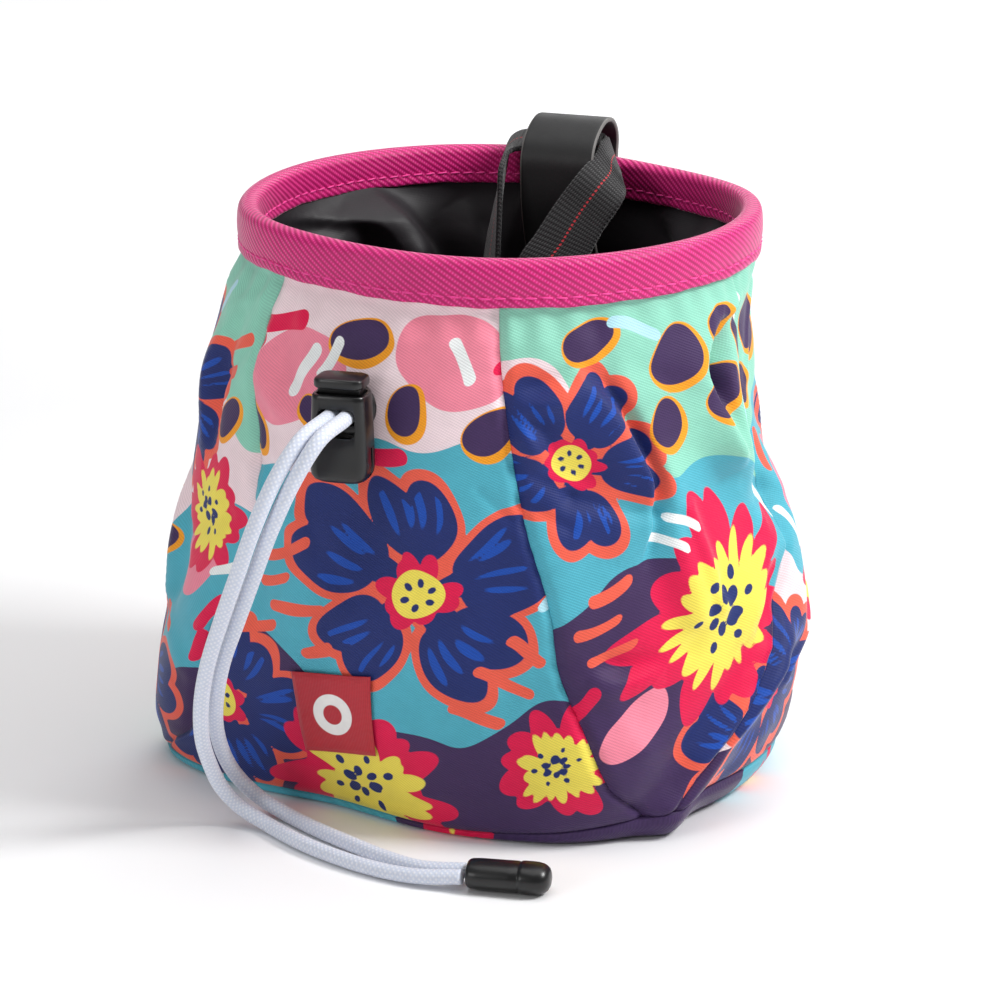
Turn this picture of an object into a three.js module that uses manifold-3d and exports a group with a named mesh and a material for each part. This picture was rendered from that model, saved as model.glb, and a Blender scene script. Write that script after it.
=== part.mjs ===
// Climbing chalk bag: a soft round bag with a stiff taped rim. Its wall is six cloth panels, three that
// widen towards the base and three gores that close to a point there, over a dished base panel.
// A dark lining hangs inside. A drawcord comes out through an eyelet and a sprung cord lock, a band
// arches over the back of the rim, and a waist belt is threaded through it and tucked in.
// Millimetres, +Z up, the front faces -Y. A turn is an angle in degrees from the front, positive to the
// right (+X). A height is a share of the bag's height. Everything is worked out round the rim's centre.
import * as THREE from 'three';
import { mergeVertices } from 'three/addons/utils/BufferGeometryUtils.js';
import Module from 'manifold-3d';

const wasm = await Module();
wasm.setup();

// Driving dimensions
const rimRadius = 64; // outside of the binding
const bagHeight = 142.8; // floor to the top of the rim
const clothWall = 1.4;
const liningWall = 1.0;
const liningSlack = 4.5; // how far the lining hangs inside the cloth
const tapeWall = 1.0; // binding tape
const bindingOuterHeight = 11.5;
const bindingInnerHeight = 9.5;
const clearance = 0.3; // between pieces that touch
const loopWidth = 19.4;
const loopWall = 1.2;
const loopArch = 10.2; // top of the belt loop over the rim
const loopCentreTurn = 161; // where the loop crosses the rim
const loopStandOff = 0.7; // from the wall that it is sewn to
const beltWidth = 17.4;
const beltWall = 1.4;
const labelSide = 22.3;
const labelWall = 0.7;
const labelTurn = -35.2;
const labelHeight = 0.193; // of its middle
const labelLean = -0.073; // sideways over up
const labelRise = 0.159; // up over sideways
const labelLift = 0.4; // off the curved cloth
const eyeletRadius = 6.2;
const eyeletBore = 4.4; // radius
const eyeletWall = 0.9; // the barrel's
const eyeletProud = 1.3;
const eyeletLift = 0.75; // the flat flange stands off the curved cloth
const barrelBehind = 1.5; // barrel behind the cloth
const cordDiameter = 3.7;
const lockWidth = 13.8;
const lockDepth = 9.6;
const lockHeight = 21.4;
const lockTaper = 0.93; // width at the top over width at the bottom
const lockCorner = 2.4;
const slotWidth = 9;
const slotHeight = 6.8;
const slotCorner = 1.6;
const headHeight = 3.15; // over the slot
const grooveWidth = 1.6;
const grooveDepth = 1.5;
const grooveLength = 7.5;
const grooveMiddle = 4.6; // over the lock's bottom
const plungerWidth = 10.4;
const plungerDepth = 5.4;
const buttonWidth = 12;
const buttonDepth = 8.4;
const buttonThickness = 2.4;
const buttonTravel = 1.2;
const buttonCorner = 2.2;
const buttonBevel = 0.5;
const barThickness = 1.7; // under the strands, in the plunger's window
const pocketSpare = 3; // for the spring, under the pressed plunger
const endLength = 19.8;
const endWidth = 9.4;
const endHeight = 7.6;

// Mesh density
const panelRows = 14;
const ringSides = 48;

// Wall outline: how far the cloth reaches from the rim's centre line in eight directions, as shares of
// the rim's radius, at each height
const directions = ['front', 'frontRight', 'right', 'backRight', 'back', 'backLeft', 'left', 'frontLeft'];
const outline = namedRows(['height', ...directions], [
  [0.00, 1.02, 1.12, 1.11, 1.12, 1.03, 1.00, 1.30, 0.93],
  [0.07, 1.06, 1.17, 1.14, 1.15, 1.07, 1.05, 1.335, 1.00],
  [0.18, 1.10, 1.20, 1.17, 1.17, 1.10, 1.10, 1.335, 1.08],
  [0.28, 1.12, 1.21, 1.175, 1.17, 1.11, 1.13, 1.30, 1.13],
  [0.40, 1.12, 1.19, 1.125, 1.14, 1.11, 1.14, 1.25, 1.155],
  [0.52, 1.10, 1.13, 1.035, 1.09, 1.09, 1.13, 1.20, 1.15],
  [0.66, 1.08, 1.07, 0.96, 1.04, 1.06, 1.10, 1.145, 1.12],
  [0.77, 1.055, 1.03, 0.945, 1.01, 1.035, 1.065, 1.105, 1.09],
  [0.86, 1.02, 0.995, 0.965, 0.99, 1.005, 1.02, 1.045, 1.03],
  [0.912, 0.9797, 0.9797, 0.9797, 0.9797, 0.9797, 0.9797, 0.9797, 0.9797],
]);

// Lift of the base seam off the floor and of the rim off its plane, as shares of the rim's radius
const lifts = namedRows(['edge', ...directions], [
  ['baseSeam', 0.035, 0.13, 0.12, 0.08, 0.05, 0.045, 0.035, 0.035],
  ['rim', 0, 0, -0.005, -0.034, 0, 0.01, 0.004, 0.02],
]);

// Folds of the cloth: a line from one turn and height to another, its half width, how far it stands out,
// and how far its left side stands out over its right, as shares of the rim's radius
const foldColumns = ['fromTurn', 'fromHeight', 'toTurn', 'toHeight', 'width', 'ridge', 'step'];
const folds = namedRows(foldColumns, [
  [64, 0.90, 50, 0.66, 0.12, 0.055, 0.03],
  [50, 0.66, 60, 0.42, 0.12, 0.035, 0.03],
  [66, 0.82, 62, 0.52, 0.13, -0.060, 0],
  [72, 0.52, 68, 0.26, 0.12, 0.035, 0.02],
  [30, 0.60, 36, 0.36, 0.09, 0.030, 0.03],
  [12, 0.66, 28, 0.58, 0.08, -0.035, 0],
  [58, 0.26, 32, 0.02, 0.10, 0.045, 0.05],
  [8, 0.52, 14, 0.20, 0.12, 0.030, 0],
  [24, 0.12, 28, 0.00, 0.16, 0.060, 0],
  [12, 0.10, 14, 0.00, 0.20, 0.055, 0],
  [-34, 0.60, -26, 0.50, 0.14, -0.025, 0],
  [-54, 0.66, -53, 0.36, 0.13, -0.035, 0],
  [-66, 0.30, -88, 0.02, 0.16, 0.035, 0],
  [12, 0.30, 2, 0.12, 0.14, -0.020, 0],
  [-52, 0.88, -46, 0.78, 0.08, -0.020, 0],
  [-100, 0.70, -112, 0.30, 0.16, -0.030, 0],
  [118, 0.70, 140, 0.30, 0.16, 0.035, 0.02],
  [150, 0.14, 150, 0.00, 0.16, 0.050, 0],
  [186, 0.72, 172, 0.24, 0.16, 0.030, 0.015],
  [212, 0.60, 224, 0.24, 0.18, -0.030, 0],
  [240, 0.76, 252, 0.30, 0.14, 0.030, -0.015],
]);

// Folds of the lining, in the same columns
const liningFolds = namedRows(foldColumns, [
  [-62, 0.86, -20, 0.62, 0.13, -0.09, 0],
  [228, 0.88, 262, 0.60, 0.14, -0.10, 0],
  [206, 0.80, 200, 0.40, 0.13, -0.08, 0],
  [118, 0.84, 96, 0.50, 0.15, -0.08, 0],
  [40, 0.80, 52, 0.40, 0.15, -0.05, 0],
]);

// Seams between the wall's pieces: their turn at each height. Each piece runs from its seam to the next
const wallPieces = ['panel_front', 'gore_front_right', 'panel_right', 'gore_back', 'panel_back', 'gore_left'];
const seams = namedRows(['height', ...wallPieces], [
  [0.00, -86, 28, 33, 147, 153, 268],
  [0.08, -74, 20, 41, 140, 160, 260],
  [0.20, -68, 15, 52, 134, 172, 254],
  [0.30, -64, 11, 61, 131, 182, 251],
  [0.42, -55, 9, 67, 129, 187, 249],
  [0.55, -54, 5, 68, 125, 188, 245],
  [0.70, -57, 2, 66, 122, 186, 242],
  [0.85, -57, 0, 64, 120, 184, 240],
  [1.00, -56, 0, 64, 120, 184, 240],
]);
const wallColumns = [12, 9, 12, 9, 12, 9]; // facets across each wall piece

// Belt: the far and the near edge of the strap, from its hidden end in front, up over the rim under the
// loop, to its hidden end at the left. Across places are shares of the rim's radius from its centre, and
// rises are shares of the way from the lining's floor (0) to the rim (1)
const beltColumns = ['farX', 'farY', 'farRise', 'nearX', 'nearY', 'nearRise'];
const beltEdges = namedRows(beltColumns, [
  [0.06, -0.19, 0.000, 0.34, -0.19, 0.000],
  [0.06, 0.03, 0.000, 0.34, 0.03, 0.000],
  [0.06, 0.13, 0.025, 0.34, 0.12, 0.025],
  [0.06, 0.17, 0.12, 0.34, 0.15, 0.12],
  [0.05, 0.28, 0.42, 0.32, 0.20, 0.42],
  [0.05, 0.40, 0.70, 0.31, 0.27, 0.68],
  [0.067, 0.461, 0.836, 0.289, 0.295, 0.813],
  [0.138, 0.492, 0.884, 0.352, 0.316, 0.861],
  [0.230, 0.539, 0.944, 0.403, 0.336, 0.903],
  [0.366, 0.566, 0.990, 0.474, 0.360, 0.937],
  [0.425, 0.650, 1.014, 0.490, 0.447, 0.950],
  [0.436, 0.734, 1.026, 0.492, 0.516, 0.960],
  [0.425, 0.870, 1.026, 0.455, 0.630, 0.984],
  [0.350, 0.938, 1.020, 0.310, 0.690, 1.009],
  [0.215, 0.970, 1.022, 0.180, 0.708, 1.016],
  [0.095, 0.995, 1.022, 0.052, 0.730, 1.014],
  [0.040, 0.876, 1.012, 0.004, 0.604, 0.992],
  [0.012, 0.846, 0.952, -0.002, 0.573, 0.937],
  [-0.047, 0.840, 0.836, -0.009, 0.570, 0.822],
  [-0.100, 0.720, 0.657, -0.050, 0.445, 0.643],
  [-0.090, 0.590, 0.34, -0.080, 0.310, 0.32],
  [-0.100, 0.510, 0.11, -0.100, 0.230, 0.11],
  [-0.160, 0.490, 0.02, -0.160, 0.210, 0.02],
  [-0.280, 0.480, 0.000, -0.280, 0.200, 0.000],
  [-0.470, 0.480, 0.000, -0.470, 0.200, 0.000],
]);

// Belt loop over the rim: how far its line lies outside the rim's radius, how far over the rim's top as
// shares of the arch, and how far under it, both others as shares of the rim's radius
const loopLine = namedRows(['out', 'rise', 'drop'], [
  [0.030, 0.32, 0], [0.014, 0.60, 0], [-0.034, 0.88, 0], [-0.125, 0.94, 0], [-0.209, 0.88, 0],
  [-0.292, 0.56, 0], [-0.316, 0.20, 0], [-0.3125, 0, 0.047], [-0.300, 0, 0.188], [-0.235, 0, 0.375],
  [-0.141, 0, 0.531],
]);

// Drawcord: where its eyelet is, and the route of each strand after it leaves the lock, to the cord end
const eyeletTurn = -29;
const eyeletHeight = 0.747;
const lockTurn = -16; // the way the lock faces
const lockGap = 1.7; // between the eyelet and the lock
const outerRoute = [
  [-45.4, -83, 105.7], [-51, -86.5, 97.7], [-56.2, -87, 86], [-60.3, -84.5, 74.1], [-64.5, -80.5, 61.6],
  [-68.3, -76, 48.9], [-70.4, -71, 37.2], [-70.7, -66, 27.1], [-69.4, -60.3, 18.3], [-66.9, -56, 10.5],
  [-62.8, -54.3, 5.1], [-56.4, -58.2, 2.3], [-47.4, -69.8, 1.95], [-38.2, -79.3, 1.95],
  [-28.6, -86.8, 1.95], [-19.1, -92, 2.4], [-8.9, -95.1, 3.5],
];
const innerRoute = [
  [-41.2, -84.6, 106], [-46.8, -86.3, 97.2], [-52.4, -85, 84.8], [-56.7, -81.5, 72.6], [-61, -77, 60.1],
  [-65.1, -71.6, 47.6], [-67.2, -65.8, 36.2], [-67.6, -59.9, 26.6], [-65.9, -53.4, 16.8], [-62.8, -49, 9.8],
  [-58.4, -47.2, 4.7], [-52.4, -50.8, 2.2], [-44.7, -60.4, 1.95], [-36, -70.1, 1.95],
  [-26.9, -79.5, 1.95], [-18.2, -86.9, 2.4], [-8.1, -91.1, 3.5],
];
const endCentre = [2.2, -95.4];
const endTurn = -12; // the way the cord end points, from +X

// Wall colours
const cloth = { color: '#3E6F8E', roughness: 0.75, metalness: 0 };
const darkCloth = { color: '#2A282B', roughness: 0.6, metalness: 0 };
const darkPlastic = { color: '#141414', roughness: 0.35, metalness: 0 };

const bag = new THREE.Group();
bag.name = 'chalk_bag';

// Tables and blends
function namedRows(columns, rows) {
  return rows.map((row) => Object.fromEntries(columns.map((column, i) => [column, row[i]])));
}

function radians(degrees) {
  return THREE.MathUtils.degToRad(degrees);
}

// Smooth curve through four neighbouring values, between the second and the third
function throughFour(a, b, c, d, share) {
  const slopeIn = (c - a) / 2;
  const slopeOut = (d - b) / 2;
  const s2 = share * share;
  const s3 = s2 * share;
  return (2 * s3 - 3 * s2 + 1) * b + (s3 - 2 * s2 + share) * slopeIn
    + (3 * s2 - 2 * s3) * c + (s3 - s2) * slopeOut;
}

// One row's values round the bag, at any turn
function round(row, turn) {
  const step = 360 / directions.length;
  const place = (((turn % 360) + 360) % 360) / step;
  const first = Math.floor(place);
  const at = (k) => row[directions[(first + k + directions.length) % directions.length]];
  return throughFour(at(-1), at(0), at(1), at(2), place - first);
}

// A value read from rows set out by height
function upRows(rows, height, value) {
  const last = rows.length - 1;
  let k = 0;
  while (k < last - 1 && rows[k + 1].height < height) k += 1;
  const span = rows[k + 1].height - rows[k].height;
  const share = THREE.MathUtils.clamp((height - rows[k].height) / span, 0, 1);
  const at = (i) => value(rows[THREE.MathUtils.clamp(i, 0, last)]);
  return throughFour(at(k - 1), at(k), at(k + 1), at(k + 2), share);
}

// Height over width of the wall laid flat, which fold widths are measured in
const flatRatio = bagHeight / rimRadius;

// How far the folds move the wall at one place, as a share of the rim's radius
function foldAt(table, turn, height) {
  let sum = 0;
  for (const fold of table) {
    const middle = (fold.fromTurn + fold.toTurn) / 2;
    const nearTurn = middle + ((((turn - middle + 180) % 360) + 360) % 360) - 180;
    const along = [radians(fold.toTurn - fold.fromTurn), (fold.toHeight - fold.fromHeight) * flatRatio];
    const from = [radians(nearTurn - fold.fromTurn), (height - fold.fromHeight) * flatRatio];
    const length = Math.hypot(...along);
    const share = (from[0] * along[0] + from[1] * along[1]) / length ** 2;
    const beyond = (share - THREE.MathUtils.clamp(share, 0, 1)) * length;
    const left = (from[0] * along[1] - from[1] * along[0]) / length / fold.width;
    const fade = Math.exp(-left * left - (beyond / fold.width) ** 2);
    sum += fade * (fold.ridge - fold.step * left * 2);
  }
  return sum;
}

// Outside of the binding's cloth, where no fold reaches
const bindingFoot = 1 - bindingOuterHeight / bagHeight;
const clothInBinding = rimRadius - tapeWall - clearance;

function clothReach(turn, height) {
  if (height >= bindingFoot) return clothInBinding;
  const calm = THREE.MathUtils.smoothstep(bindingFoot - height, 0.01, 0.1);
  const smooth = upRows(outline, height, (row) => round(row, turn)) * rimRadius;
  const near = THREE.MathUtils.smoothstep(bindingFoot - height, 0, 0.02);
  return THREE.MathUtils.lerp(clothInBinding, smooth, near) + calm * foldAt(folds, turn, height) * rimRadius;
}

function heightZ(turn, height) {
  const low = round(lifts[0], turn) * rimRadius;
  const high = bagHeight + round(lifts[1], turn) * rimRadius;
  return THREE.MathUtils.lerp(low, high, height);
}

function polar(turn, radius, z) {
  const angle = radians(turn);
  return new THREE.Vector3(Math.sin(angle) * radius, -Math.cos(angle) * radius, z);
}

function clothPoint(turn, height, inset) {
  return polar(turn, clothReach(turn, height) - inset, heightZ(turn, height));
}

// Solids from rings and grids of points
function solidFrom(points, faces) {
  const geometry = new THREE.BufferGeometry();
  geometry.setAttribute('position', new THREE.Float32BufferAttribute(points.flatMap((p) => p.toArray()), 3));
  let volume = 0;
  for (const [a, b, c] of faces) volume += points[a].dot(points[b].clone().cross(points[c]));
  geometry.setIndex(faces.flatMap(([a, b, c]) => (volume > 0 ? [a, b, c] : [a, c, b])));
  geometry.computeVertexNormals();
  return geometry;
}

// Rings of points joined into a skin: the last ring meets the first, or both ends are capped
function ringSolid(rings, closed) {
  const sides = rings[0].length;
  const points = rings.flat();
  const faces = [];
  const joins = closed ? rings.length : rings.length - 1;
  for (let i = 0; i < joins; i += 1) {
    const next = (i + 1) % rings.length;
    for (let j = 0; j < sides; j += 1) {
      const k = (j + 1) % sides;
      const corners = [i * sides + j, i * sides + k, next * sides + k, next * sides + j];
      faces.push([corners[0], corners[1], corners[2]], [corners[0], corners[2], corners[3]]);
    }
  }
  if (!closed) {
    for (const [ring, flip] of [[0, true], [rings.length - 1, false]]) {
      const middle = new THREE.Vector3();
      for (const point of rings[ring]) middle.addScaledVector(point, 1 / sides);
      const centre = points.push(middle) - 1;
      for (let j = 0; j < sides; j += 1) {
        const pair = [ring * sides + j, ring * sides + ((j + 1) % sides)];
        faces.push(flip ? [centre, pair[1], pair[0]] : [centre, pair[0], pair[1]]);
      }
    }
  }
  return solidFrom(points, faces);
}

// A sheet with thickness: an outer and an inner grid of points, closed along the four edges
function sheetSolid(outer, inner) {
  const rows = outer.length;
  const columns = outer[0].length;
  const rings = [];
  for (let i = 0; i < rows; i += 1) rings.push([...outer[i], ...inner[i].slice().reverse()]);
  const points = rings.flat();
  const sides = 2 * columns;
  const faces = [];
  for (let i = 0; i < rows - 1; i += 1) {
    for (let j = 0; j < sides; j += 1) {
      const k = (j + 1) % sides;
      const corners = [i * sides + j, i * sides + k, (i + 1) * sides + k, (i + 1) * sides + j];
      faces.push([corners[0], corners[1], corners[2]], [corners[0], corners[2], corners[3]]);
    }
  }
  for (const [row, flip] of [[0, true], [rows - 1, false]]) {
    for (let j = 0; j < columns - 1; j += 1) {
      const corners = [j, j + 1, sides - 2 - j, sides - 1 - j].map((k) => row * sides + k);
      const order = flip ? [3, 2, 1, 0] : [0, 1, 2, 3];
      const [a, b, c, d] = order.map((k) => corners[k]);
      faces.push([a, b, c], [a, c, d]);
    }
  }
  return solidFrom(points, faces);
}

// Solids joined and cut
function manifoldOf(geometry) {
  const bare = geometry.clone();
  for (const name of Object.keys(bare.attributes)) if (name !== 'position') bare.deleteAttribute(name);
  const merged = mergeVertices(bare, 1e-4);
  return new wasm.Manifold(new wasm.Mesh({
    numProp: 3,
    vertProperties: new Float32Array(merged.attributes.position.array),
    triVerts: new Uint32Array(merged.index.array),
  }));
}

function geometryOf(manifold) {
  const mesh = manifold.getMesh();
  const geometry = new THREE.BufferGeometry();
  geometry.setAttribute('position', new THREE.BufferAttribute(new Float32Array(mesh.vertProperties), 3));
  geometry.setIndex(new THREE.BufferAttribute(new Uint32Array(mesh.triVerts), 1));
  geometry.computeVertexNormals();
  return geometry;
}

function cut(geometry, tools) {
  let solid = manifoldOf(geometry);
  for (const tool of tools) solid = solid.subtract(manifoldOf(tool));
  return geometryOf(solid);
}

function join(geometries) {
  let solid = manifoldOf(geometries[0]);
  for (const other of geometries.slice(1)) solid = solid.add(manifoldOf(other));
  return geometryOf(solid);
}

function add(name, geometry, look, place = null) {
  const mesh = new THREE.Mesh(geometry, new THREE.MeshStandardMaterial(look));
  mesh.name = name;
  if (place) mesh.applyMatrix4(place);
  bag.add(mesh);
  return mesh;
}

// A place that faces a turn: +Z outward, +Y up
function facing(turn, origin) {
  const outward = polar(turn, 1, 0);
  const up = new THREE.Vector3(0, 0, 1);
  const right = new THREE.Vector3().crossVectors(up, outward);
  return new THREE.Matrix4().makeBasis(right, up, outward).setPosition(origin);
}

const eyeletPlace = facing(eyeletTurn, clothPoint(eyeletTurn, eyeletHeight, 0));

// Wall panels and gores, a hair apart at their seams
function wallPiece(index) {
  const left = wallPieces[index];
  const right = wallPieces[(index + 1) % wallPieces.length];
  const wrap = index === wallPieces.length - 1 ? 360 : 0;
  const columns = wallColumns[index];
  const top = 1 - (tapeWall + clearance) / bagHeight;
  const heights = [];
  for (let i = 0; i <= panelRows; i += 1) heights.push((bindingFoot * i) / panelRows);
  heights.push(top);
  const grids = [0, clothWall].map((inset) => heights.map((height) => {
    const row = [];
    const halfGap = THREE.MathUtils.radToDeg(clearance / 2 / clothInBinding);
    const from = upRows(seams, height, (r) => r[left]) + halfGap;
    const to = upRows(seams, height, (r) => r[right]) + wrap - halfGap;
    for (let j = 0; j <= columns; j += 1) {
      const turn = THREE.MathUtils.lerp(from, to, j / columns);
      const point = clothPoint(turn, height, inset);
      if (height === 0) point.z += clearance;
      row.push(point);
    }
    return row;
  }));
  return sheetSolid(grids[0], grids[1]);
}

function eyeletHole() {
  const barrel = eyeletBore + eyeletWall + clearance;
  const length = 2 * eyeletRadius;
  return new THREE.CylinderGeometry(barrel, barrel, length, 20).rotateX(Math.PI / 2)
    .applyMatrix4(eyeletPlace);
}

function buildWall() {
  wallPieces.forEach((name, index) => {
    const piece = wallPiece(index);
    add(name, name === 'panel_front' ? cut(piece, [eyeletHole()]) : piece, cloth);
  });
}

// Base panel: flat where it stands, turned up to the seam all round
const footInset = 0.9; // how far the flat lies inside the seam, for each unit of the seam's lift

function turnsRound(sides) {
  return Array.from({ length: sides }, (unused, j) => (360 * j) / sides);
}

function footReach(turn) {
  return clothReach(turn, 0) - footInset * heightZ(turn, 0) - clothWall;
}

function buildBase() {
  const ring = (radius, z) => turnsRound(ringSides).map((turn) => polar(turn, radius(turn), z(turn)));
  const seamZ = (turn) => heightZ(turn, 0);
  const part = (share, drop) => (turn) => THREE.MathUtils.lerp(
    footReach(turn), clothReach(turn, 0) - drop, share,
  );
  add('base_panel', ringSolid([
    ring(footReach, () => 0),
    ring(part(0.65, 0), (turn) => 0.32 * seamZ(turn)),
    ring((turn) => clothReach(turn, 0), seamZ),
    ring((turn) => clothReach(turn, 0) - clothWall, seamZ),
    ring(part(0.65, clothWall), (turn) => 0.32 * seamZ(turn) + clothWall * 0.8),
    ring((turn) => footReach(turn) - clothWall / 2, () => clothWall),
  ], false), cloth);
}

// Lining: a loose cup from the binding down to the base panel
function liningReach(turn, height) {
  const start = clothInBinding - clothWall - clearance;
  const smooth = upRows(outline, Math.min(height, bindingFoot), (row) => round(row, turn)) * rimRadius;
  const loose = smooth - clothWall - liningSlack + foldAt(liningFolds, turn, height) * rimRadius;
  const away = THREE.MathUtils.smoothstep(bindingFoot - height, 0, 0.1);
  const held = Math.min(start, smooth - clothWall - clearance);
  return THREE.MathUtils.lerp(height >= bindingFoot ? start : held, loose, away);
}

const liningFloor = clothWall + clearance; // underside of the lining's floor

function buildLining() {
  const top = 1 - (tapeWall + clearance) / bagHeight;
  const heights = [0.035, 0.09, 0.18, 0.28, 0.38, 0.48, 0.57, 0.66, 0.74, 0.81, 0.87, bindingFoot, top];
  const ring = (height, inset) => turnsRound(ringSides).map(
    (turn) => polar(turn, liningReach(turn, height) - inset, heightZ(turn, height)),
  );
  const floor = (inset, z) => turnsRound(ringSides).map(
    (turn) => polar(turn, footReach(turn) - liningSlack - inset, z),
  );
  add('lining', ringSolid([
    floor(0, liningFloor),
    ...heights.map((height) => ring(height, 0)),
    ...heights.map((height) => ring(height, liningWall)).reverse(),
    floor(liningWall, liningFloor + liningWall),
  ], false), darkCloth);
}

// Binding: tape folded over the top of the cloth and the lining
const bindingThickness = 2 * tapeWall + clothWall + liningWall + 3 * clearance;

function buildBinding() {
  const channel = bindingThickness - tapeWall;
  const roll = tapeWall * 0.7; // how far the tape's edge rounds over the top
  const rollDrop = 1.6;
  // Inset from the outside and drop from the top of each corner of the section
  const section = namedRows(['inset', 'drop'], [
    [0, bindingOuterHeight - clearance],
    [0, roll * rollDrop],
    [roll, 0],
    [bindingThickness - roll, 0],
    [bindingThickness, roll * rollDrop],
    [bindingThickness, bindingInnerHeight],
    [channel, bindingInnerHeight],
    [channel, tapeWall],
    [tapeWall, tapeWall],
    [tapeWall, bindingOuterHeight - clearance],
  ]);
  const rings = section.map(({ inset, drop }) => turnsRound(ringSides).map(
    (turn) => polar(turn, rimRadius - inset, heightZ(turn, 1) - drop),
  ));
  add('rim_binding', ringSolid(rings, true), { color: '#D8106A', roughness: 0.6, metalness: 0 });
}

// Flat strap: a rectangle carried along stations, each a centre and the way its width points
function strapSolid(stations, width, wall) {
  const centres = stations.map((s) => s.centre);
  return ringSolid(stations.map((station, i) => {
    const before = centres[Math.max(i - 1, 0)];
    const after = centres[Math.min(i + 1, centres.length - 1)];
    const along = after.clone().sub(before).normalize();
    const across = station.across.clone().normalize();
    const out = new THREE.Vector3().crossVectors(along, across).normalize();
    return [[1, 1], [-1, 1], [-1, -1], [1, -1]].map(([a, b]) => station.centre.clone()
      .addScaledVector(across, (a * width) / 2).addScaledVector(out, (b * wall) / 2));
  }), false);
}

// Belt loop: sewn outside the back wall, over the rim and down onto the lining
function buildBeltLoop() {
  const turn = loopCentreTurn;
  const half = loopWall / 2;
  const outside = (height) => Math.max(clothReach(turn, height), rimRadius) + half + loopStandOff;
  const rimZ = heightZ(turn, 1);
  const sideways = polar(turn + 90, 1, 0);
  const sewn = [0.76, 0.84, 0.92].map((height) => [outside(height), heightZ(turn, height)]);
  const path = [
    ...sewn,
    [outside(1), rimZ - tapeWall],
    ...loopLine.map((at) => [rimRadius * (1 + at.out), rimZ + at.rise * loopArch - at.drop * rimRadius]),
  ];
  const stations = path.map(([reach, z]) => ({ centre: polar(turn, reach, z), across: sideways }));
  // The flat band's end lies inside the round lining by the lining's bulge over its half width
  const bulge = rimRadius - Math.sqrt(rimRadius ** 2 - (loopWidth / 2) ** 2);
  const lowHeight = 0.66;
  const lowEnd = liningReach(turn, lowHeight) - liningWall - half - clearance - bulge;
  stations.push({ centre: polar(turn, lowEnd, heightZ(turn, lowHeight)), across: sideways });
  add('belt_loop', strapSolid(stations, loopWidth, loopWall), darkCloth);
}

function buildBelt() {
  const floorZ = liningFloor + liningWall + clearance + beltWall / 2;
  const edge = (x, y, rise) => new THREE.Vector3(
    x * rimRadius, y * rimRadius, THREE.MathUtils.lerp(floorZ, bagHeight, rise),
  );
  const stations = beltEdges.map((s) => {
    const far = edge(s.farX, s.farY, s.farRise);
    const near = edge(s.nearX, s.nearY, s.nearRise);
    return { centre: far.clone().lerp(near, 0.5), across: far.sub(near) };
  });
  const web = { color: '#1C1B1D', roughness: 0.8, metalness: 0 };
  add('belt_webbing', strapSolid(stations, beltWidth, beltWall), web);
}

// Label: a thin square lying on the front panel
function buildLabel() {
  const cells = 4;
  const reach = clothReach(labelTurn, labelHeight);
  const grids = [labelLift + labelWall, labelLift].map((lift) => {
    const rows = [];
    for (let i = 0; i <= cells; i += 1) {
      const up = (i / cells - 0.5) * labelSide;
      const row = [];
      for (let j = 0; j <= cells; j += 1) {
        const side = (j / cells - 0.5) * labelSide;
        const turn = labelTurn + THREE.MathUtils.radToDeg((side - labelLean * up) / reach);
        row.push(clothPoint(turn, labelHeight + (up + labelRise * side) / bagHeight, -lift));
      }
      rows.push(row);
    }
    return rows;
  });
  add('label', sheetSolid(grids[0], grids[1]), { color: '#C8102E', roughness: 0.7, metalness: 0 });
}

// Eyelet: a flanged ring through the front panel
function buildEyelet() {
  const barrel = eyeletBore + eyeletWall;
  const face = eyeletLift + eyeletProud;
  const back = -(clothWall + barrelBehind);
  const edge = eyeletProud / 2;
  const profile = [
    [eyeletBore, back], [barrel, back], [barrel, eyeletLift], [eyeletRadius, eyeletLift],
    [eyeletRadius, face - edge], [eyeletRadius - edge, face], [eyeletBore + edge / 2, face],
    [eyeletBore, face - edge / 2], [eyeletBore, back],
  ].map(([r, y]) => new THREE.Vector2(r, y));
  const ring = new THREE.LatheGeometry(profile, 24).rotateX(Math.PI / 2);
  add('eyelet', ring, darkPlastic, eyeletPlace);
  return face;
}

// Cord lock: a tapered barrel with a slot for the cords and a pocket for its sprung button
function slab(width, depth, corner) {
  const w = width / 2 - corner;
  const d = depth / 2 - corner;
  const shape = new THREE.Shape();
  shape.absarc(w, d, corner, 0, Math.PI / 2);
  shape.absarc(-w, d, corner, Math.PI / 2, Math.PI);
  shape.absarc(-w, -d, corner, Math.PI, 1.5 * Math.PI);
  shape.absarc(w, -d, corner, 1.5 * Math.PI, 2 * Math.PI);
  return shape;
}

// Height of each part of the lock over the axis of the cords
const cordRadius = cordDiameter / 2;
const strandPitch = cordDiameter + clearance;
const slotTop = cordRadius + clearance;
const slotBottom = slotTop - slotHeight;
const lockTop = slotTop + headHeight;
const lockBottom = lockTop - lockHeight;
const barTop = -(cordRadius + clearance);
const pocketBottom = barTop - barThickness - buttonTravel - pocketSpare;
const windowTop = cordRadius + 2 * clearance + buttonTravel;
const buttonBottom = lockTop + clearance + buttonTravel;

function box(width, depth, low, high) {
  return new THREE.BoxGeometry(width, depth, high - low).translate(0, 0, (low + high) / 2);
}

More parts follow.
